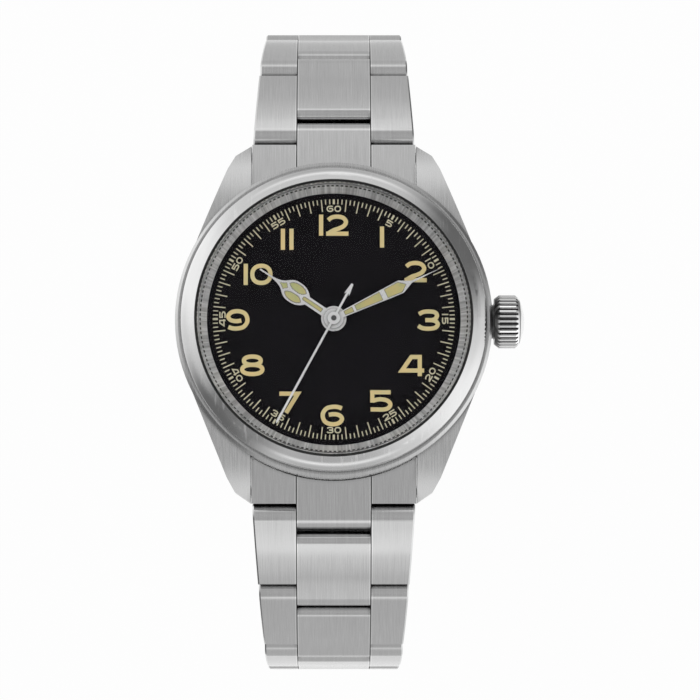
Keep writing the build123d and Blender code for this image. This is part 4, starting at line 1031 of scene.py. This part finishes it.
studio_levels, given, result = start_group("studio_levels", [vector_input], ["Level"])
x, y, z = split(studio_levels, vector_maths(studio_levels, "NORMALIZE", given["Vector"])[0])
way_turn = maths(studio_levels, "ARCTAN2", x, y)
half_turns = maths(studio_levels, "ADD", maths(studio_levels, "DIVIDE", way_turn, math.pi), 2.0)
by_turn = fill_ramp(studio_levels, turn_ramp, maths(studio_levels, "FRACT", half_turns))
by_height = fill_ramp(studio_levels, height_ramp, spread(studio_levels, z, -1.0, 1.0))
along_wrist = maths(studio_levels, "ABSOLUTE", maths(studio_levels, "COSINE", way_turn))
wrist_share = spread(studio_levels, along_wrist, 0.85, 0.98)
height_factor = blend_colours(studio_levels, wrist_share, grey(1.0), by_height)
level_below = times(studio_levels, by_turn, height_factor)
top_share = spread(studio_levels, z, 0.94, 0.995)
level_seen = blend_colours(studio_levels, top_share, level_below, grey(overhead))
join(studio_levels, level_seen, result["Level"])

# %% [markdown]
# The world is a white tent. The camera sees it as white, and it lights the watch at about half
# that level, because two soft boxes give the rest. Steel mirrors the levels worked out above.

# %% World
tent_light = 0.55
world = bpy.data.worlds.new("tent")
bpy.context.scene.world = world
world.use_nodes = True
tent_tree = world.node_tree
tent_tree.nodes.clear()
tent_out = add_node(tent_tree, "ShaderNodeOutputWorld")
tent = add_node(tent_tree, "ShaderNodeBackground")
tent_way = add_node(tent_tree, "ShaderNodeTexCoord").outputs["Generated"]
cloth = use_group(tent_tree, studio_levels, tent_way)["Level"]
tent_path = add_node(tent_tree, "ShaderNodeLightPath").outputs
mirrored = maths(tent_tree, "MAXIMUM", tent_path["Is Glossy Ray"], tent_path["Is Transmission Ray"])
lit = spread(tent_tree, tent_path["Is Camera Ray"], 0.0, 1.0, tent_light, 1.0)
join(tent_tree, blend_colours(tent_tree, mirrored, grey(1.0), cloth), tent.inputs["Color"])
join(tent_tree, maths(tent_tree, "MAXIMUM", lit, mirrored), tent.inputs["Strength"])
join(tent_tree, tent.outputs[0], tent_out.inputs["Surface"])
print("studio: open tent", open_tent, "dark cards", dark_card, "bright panels", bright_panel)

# %% [markdown]
# Two large soft boxes, one high on the left and a weaker one on the right. They light the paint
# and the floor, and are kept out of the steel, where they would show as hard squares.

# %% Soft boxes
box_distance = 0.8
soft_boxes = (("key_box", -50, 45, 0.7, 1.3), ("fill_box", 92, 25, 0.6, 1.5))


def around(turn, height, distance):
    """A place by its turn from 12 o'clock towards 3, its height above the dial and its distance."""
    t, h = math.radians(turn), math.radians(height)
    return Vector((math.sin(t) * math.cos(h), math.cos(t) * math.cos(h), math.sin(h))) * distance


for name, turn, height, size, power in soft_boxes:
    lamp_data = bpy.data.lights.new(name, "AREA")
    lamp_data.shape = "SQUARE"
    lamp_data.size = size
    lamp_data.energy = power
    lamp = bpy.data.objects.new(name, lamp_data)
    bpy.context.scene.collection.objects.link(lamp)
    lamp.location = around(turn, height, box_distance)
    lamp.rotation_mode = "QUATERNION"
    lamp.rotation_quaternion = (-lamp.location).to_track_quat("-Z", "Y")
    lamp.visible_glossy = False

# %% [markdown]
# Steep surfaces mirror the floor instead of the tent, so a round screen of card stands on it.
# Only mirror rays see the screen, and it has the same levels as the tent behind it.

# %% Round screen
screen_reach = 95 * mm
screen_top = 45 * mm
card, card_tree, _, card_place = start_material("card_shades", grey(0.5), 0.0, 0.9)
card_level = use_group(card_tree, studio_levels, card_place)["Level"]
card_light = add_node(card_tree, "ShaderNodeEmission")
join(card_tree, card_level, card_light.inputs["Strength"])
join(card_tree, card_light.outputs[0], card_tree.nodes["Material Output"].inputs["Surface"])

screen_shape = bmesh.new()
ends = [screen_shape.verts.new((0, screen_reach, z)) for z in (floor_height, screen_top)]
spin_round(screen_shape, ends, [screen_shape.edges.new(ends)], steps=96)
screen = show_mesh("screen", screen_shape, card)
screen.visible_camera = False
screen.visible_shadow = False
screen.visible_diffuse = False
print("screen from", round(floor_height / mm, 1), "to", round(screen_top / mm, 1), "mm")

bpy.context.scene.view_settings.view_transform = "Standard"

# %% Finish
print("size of the CAD model", [round(v / mm, 2) for v in cad_high - cad_low])
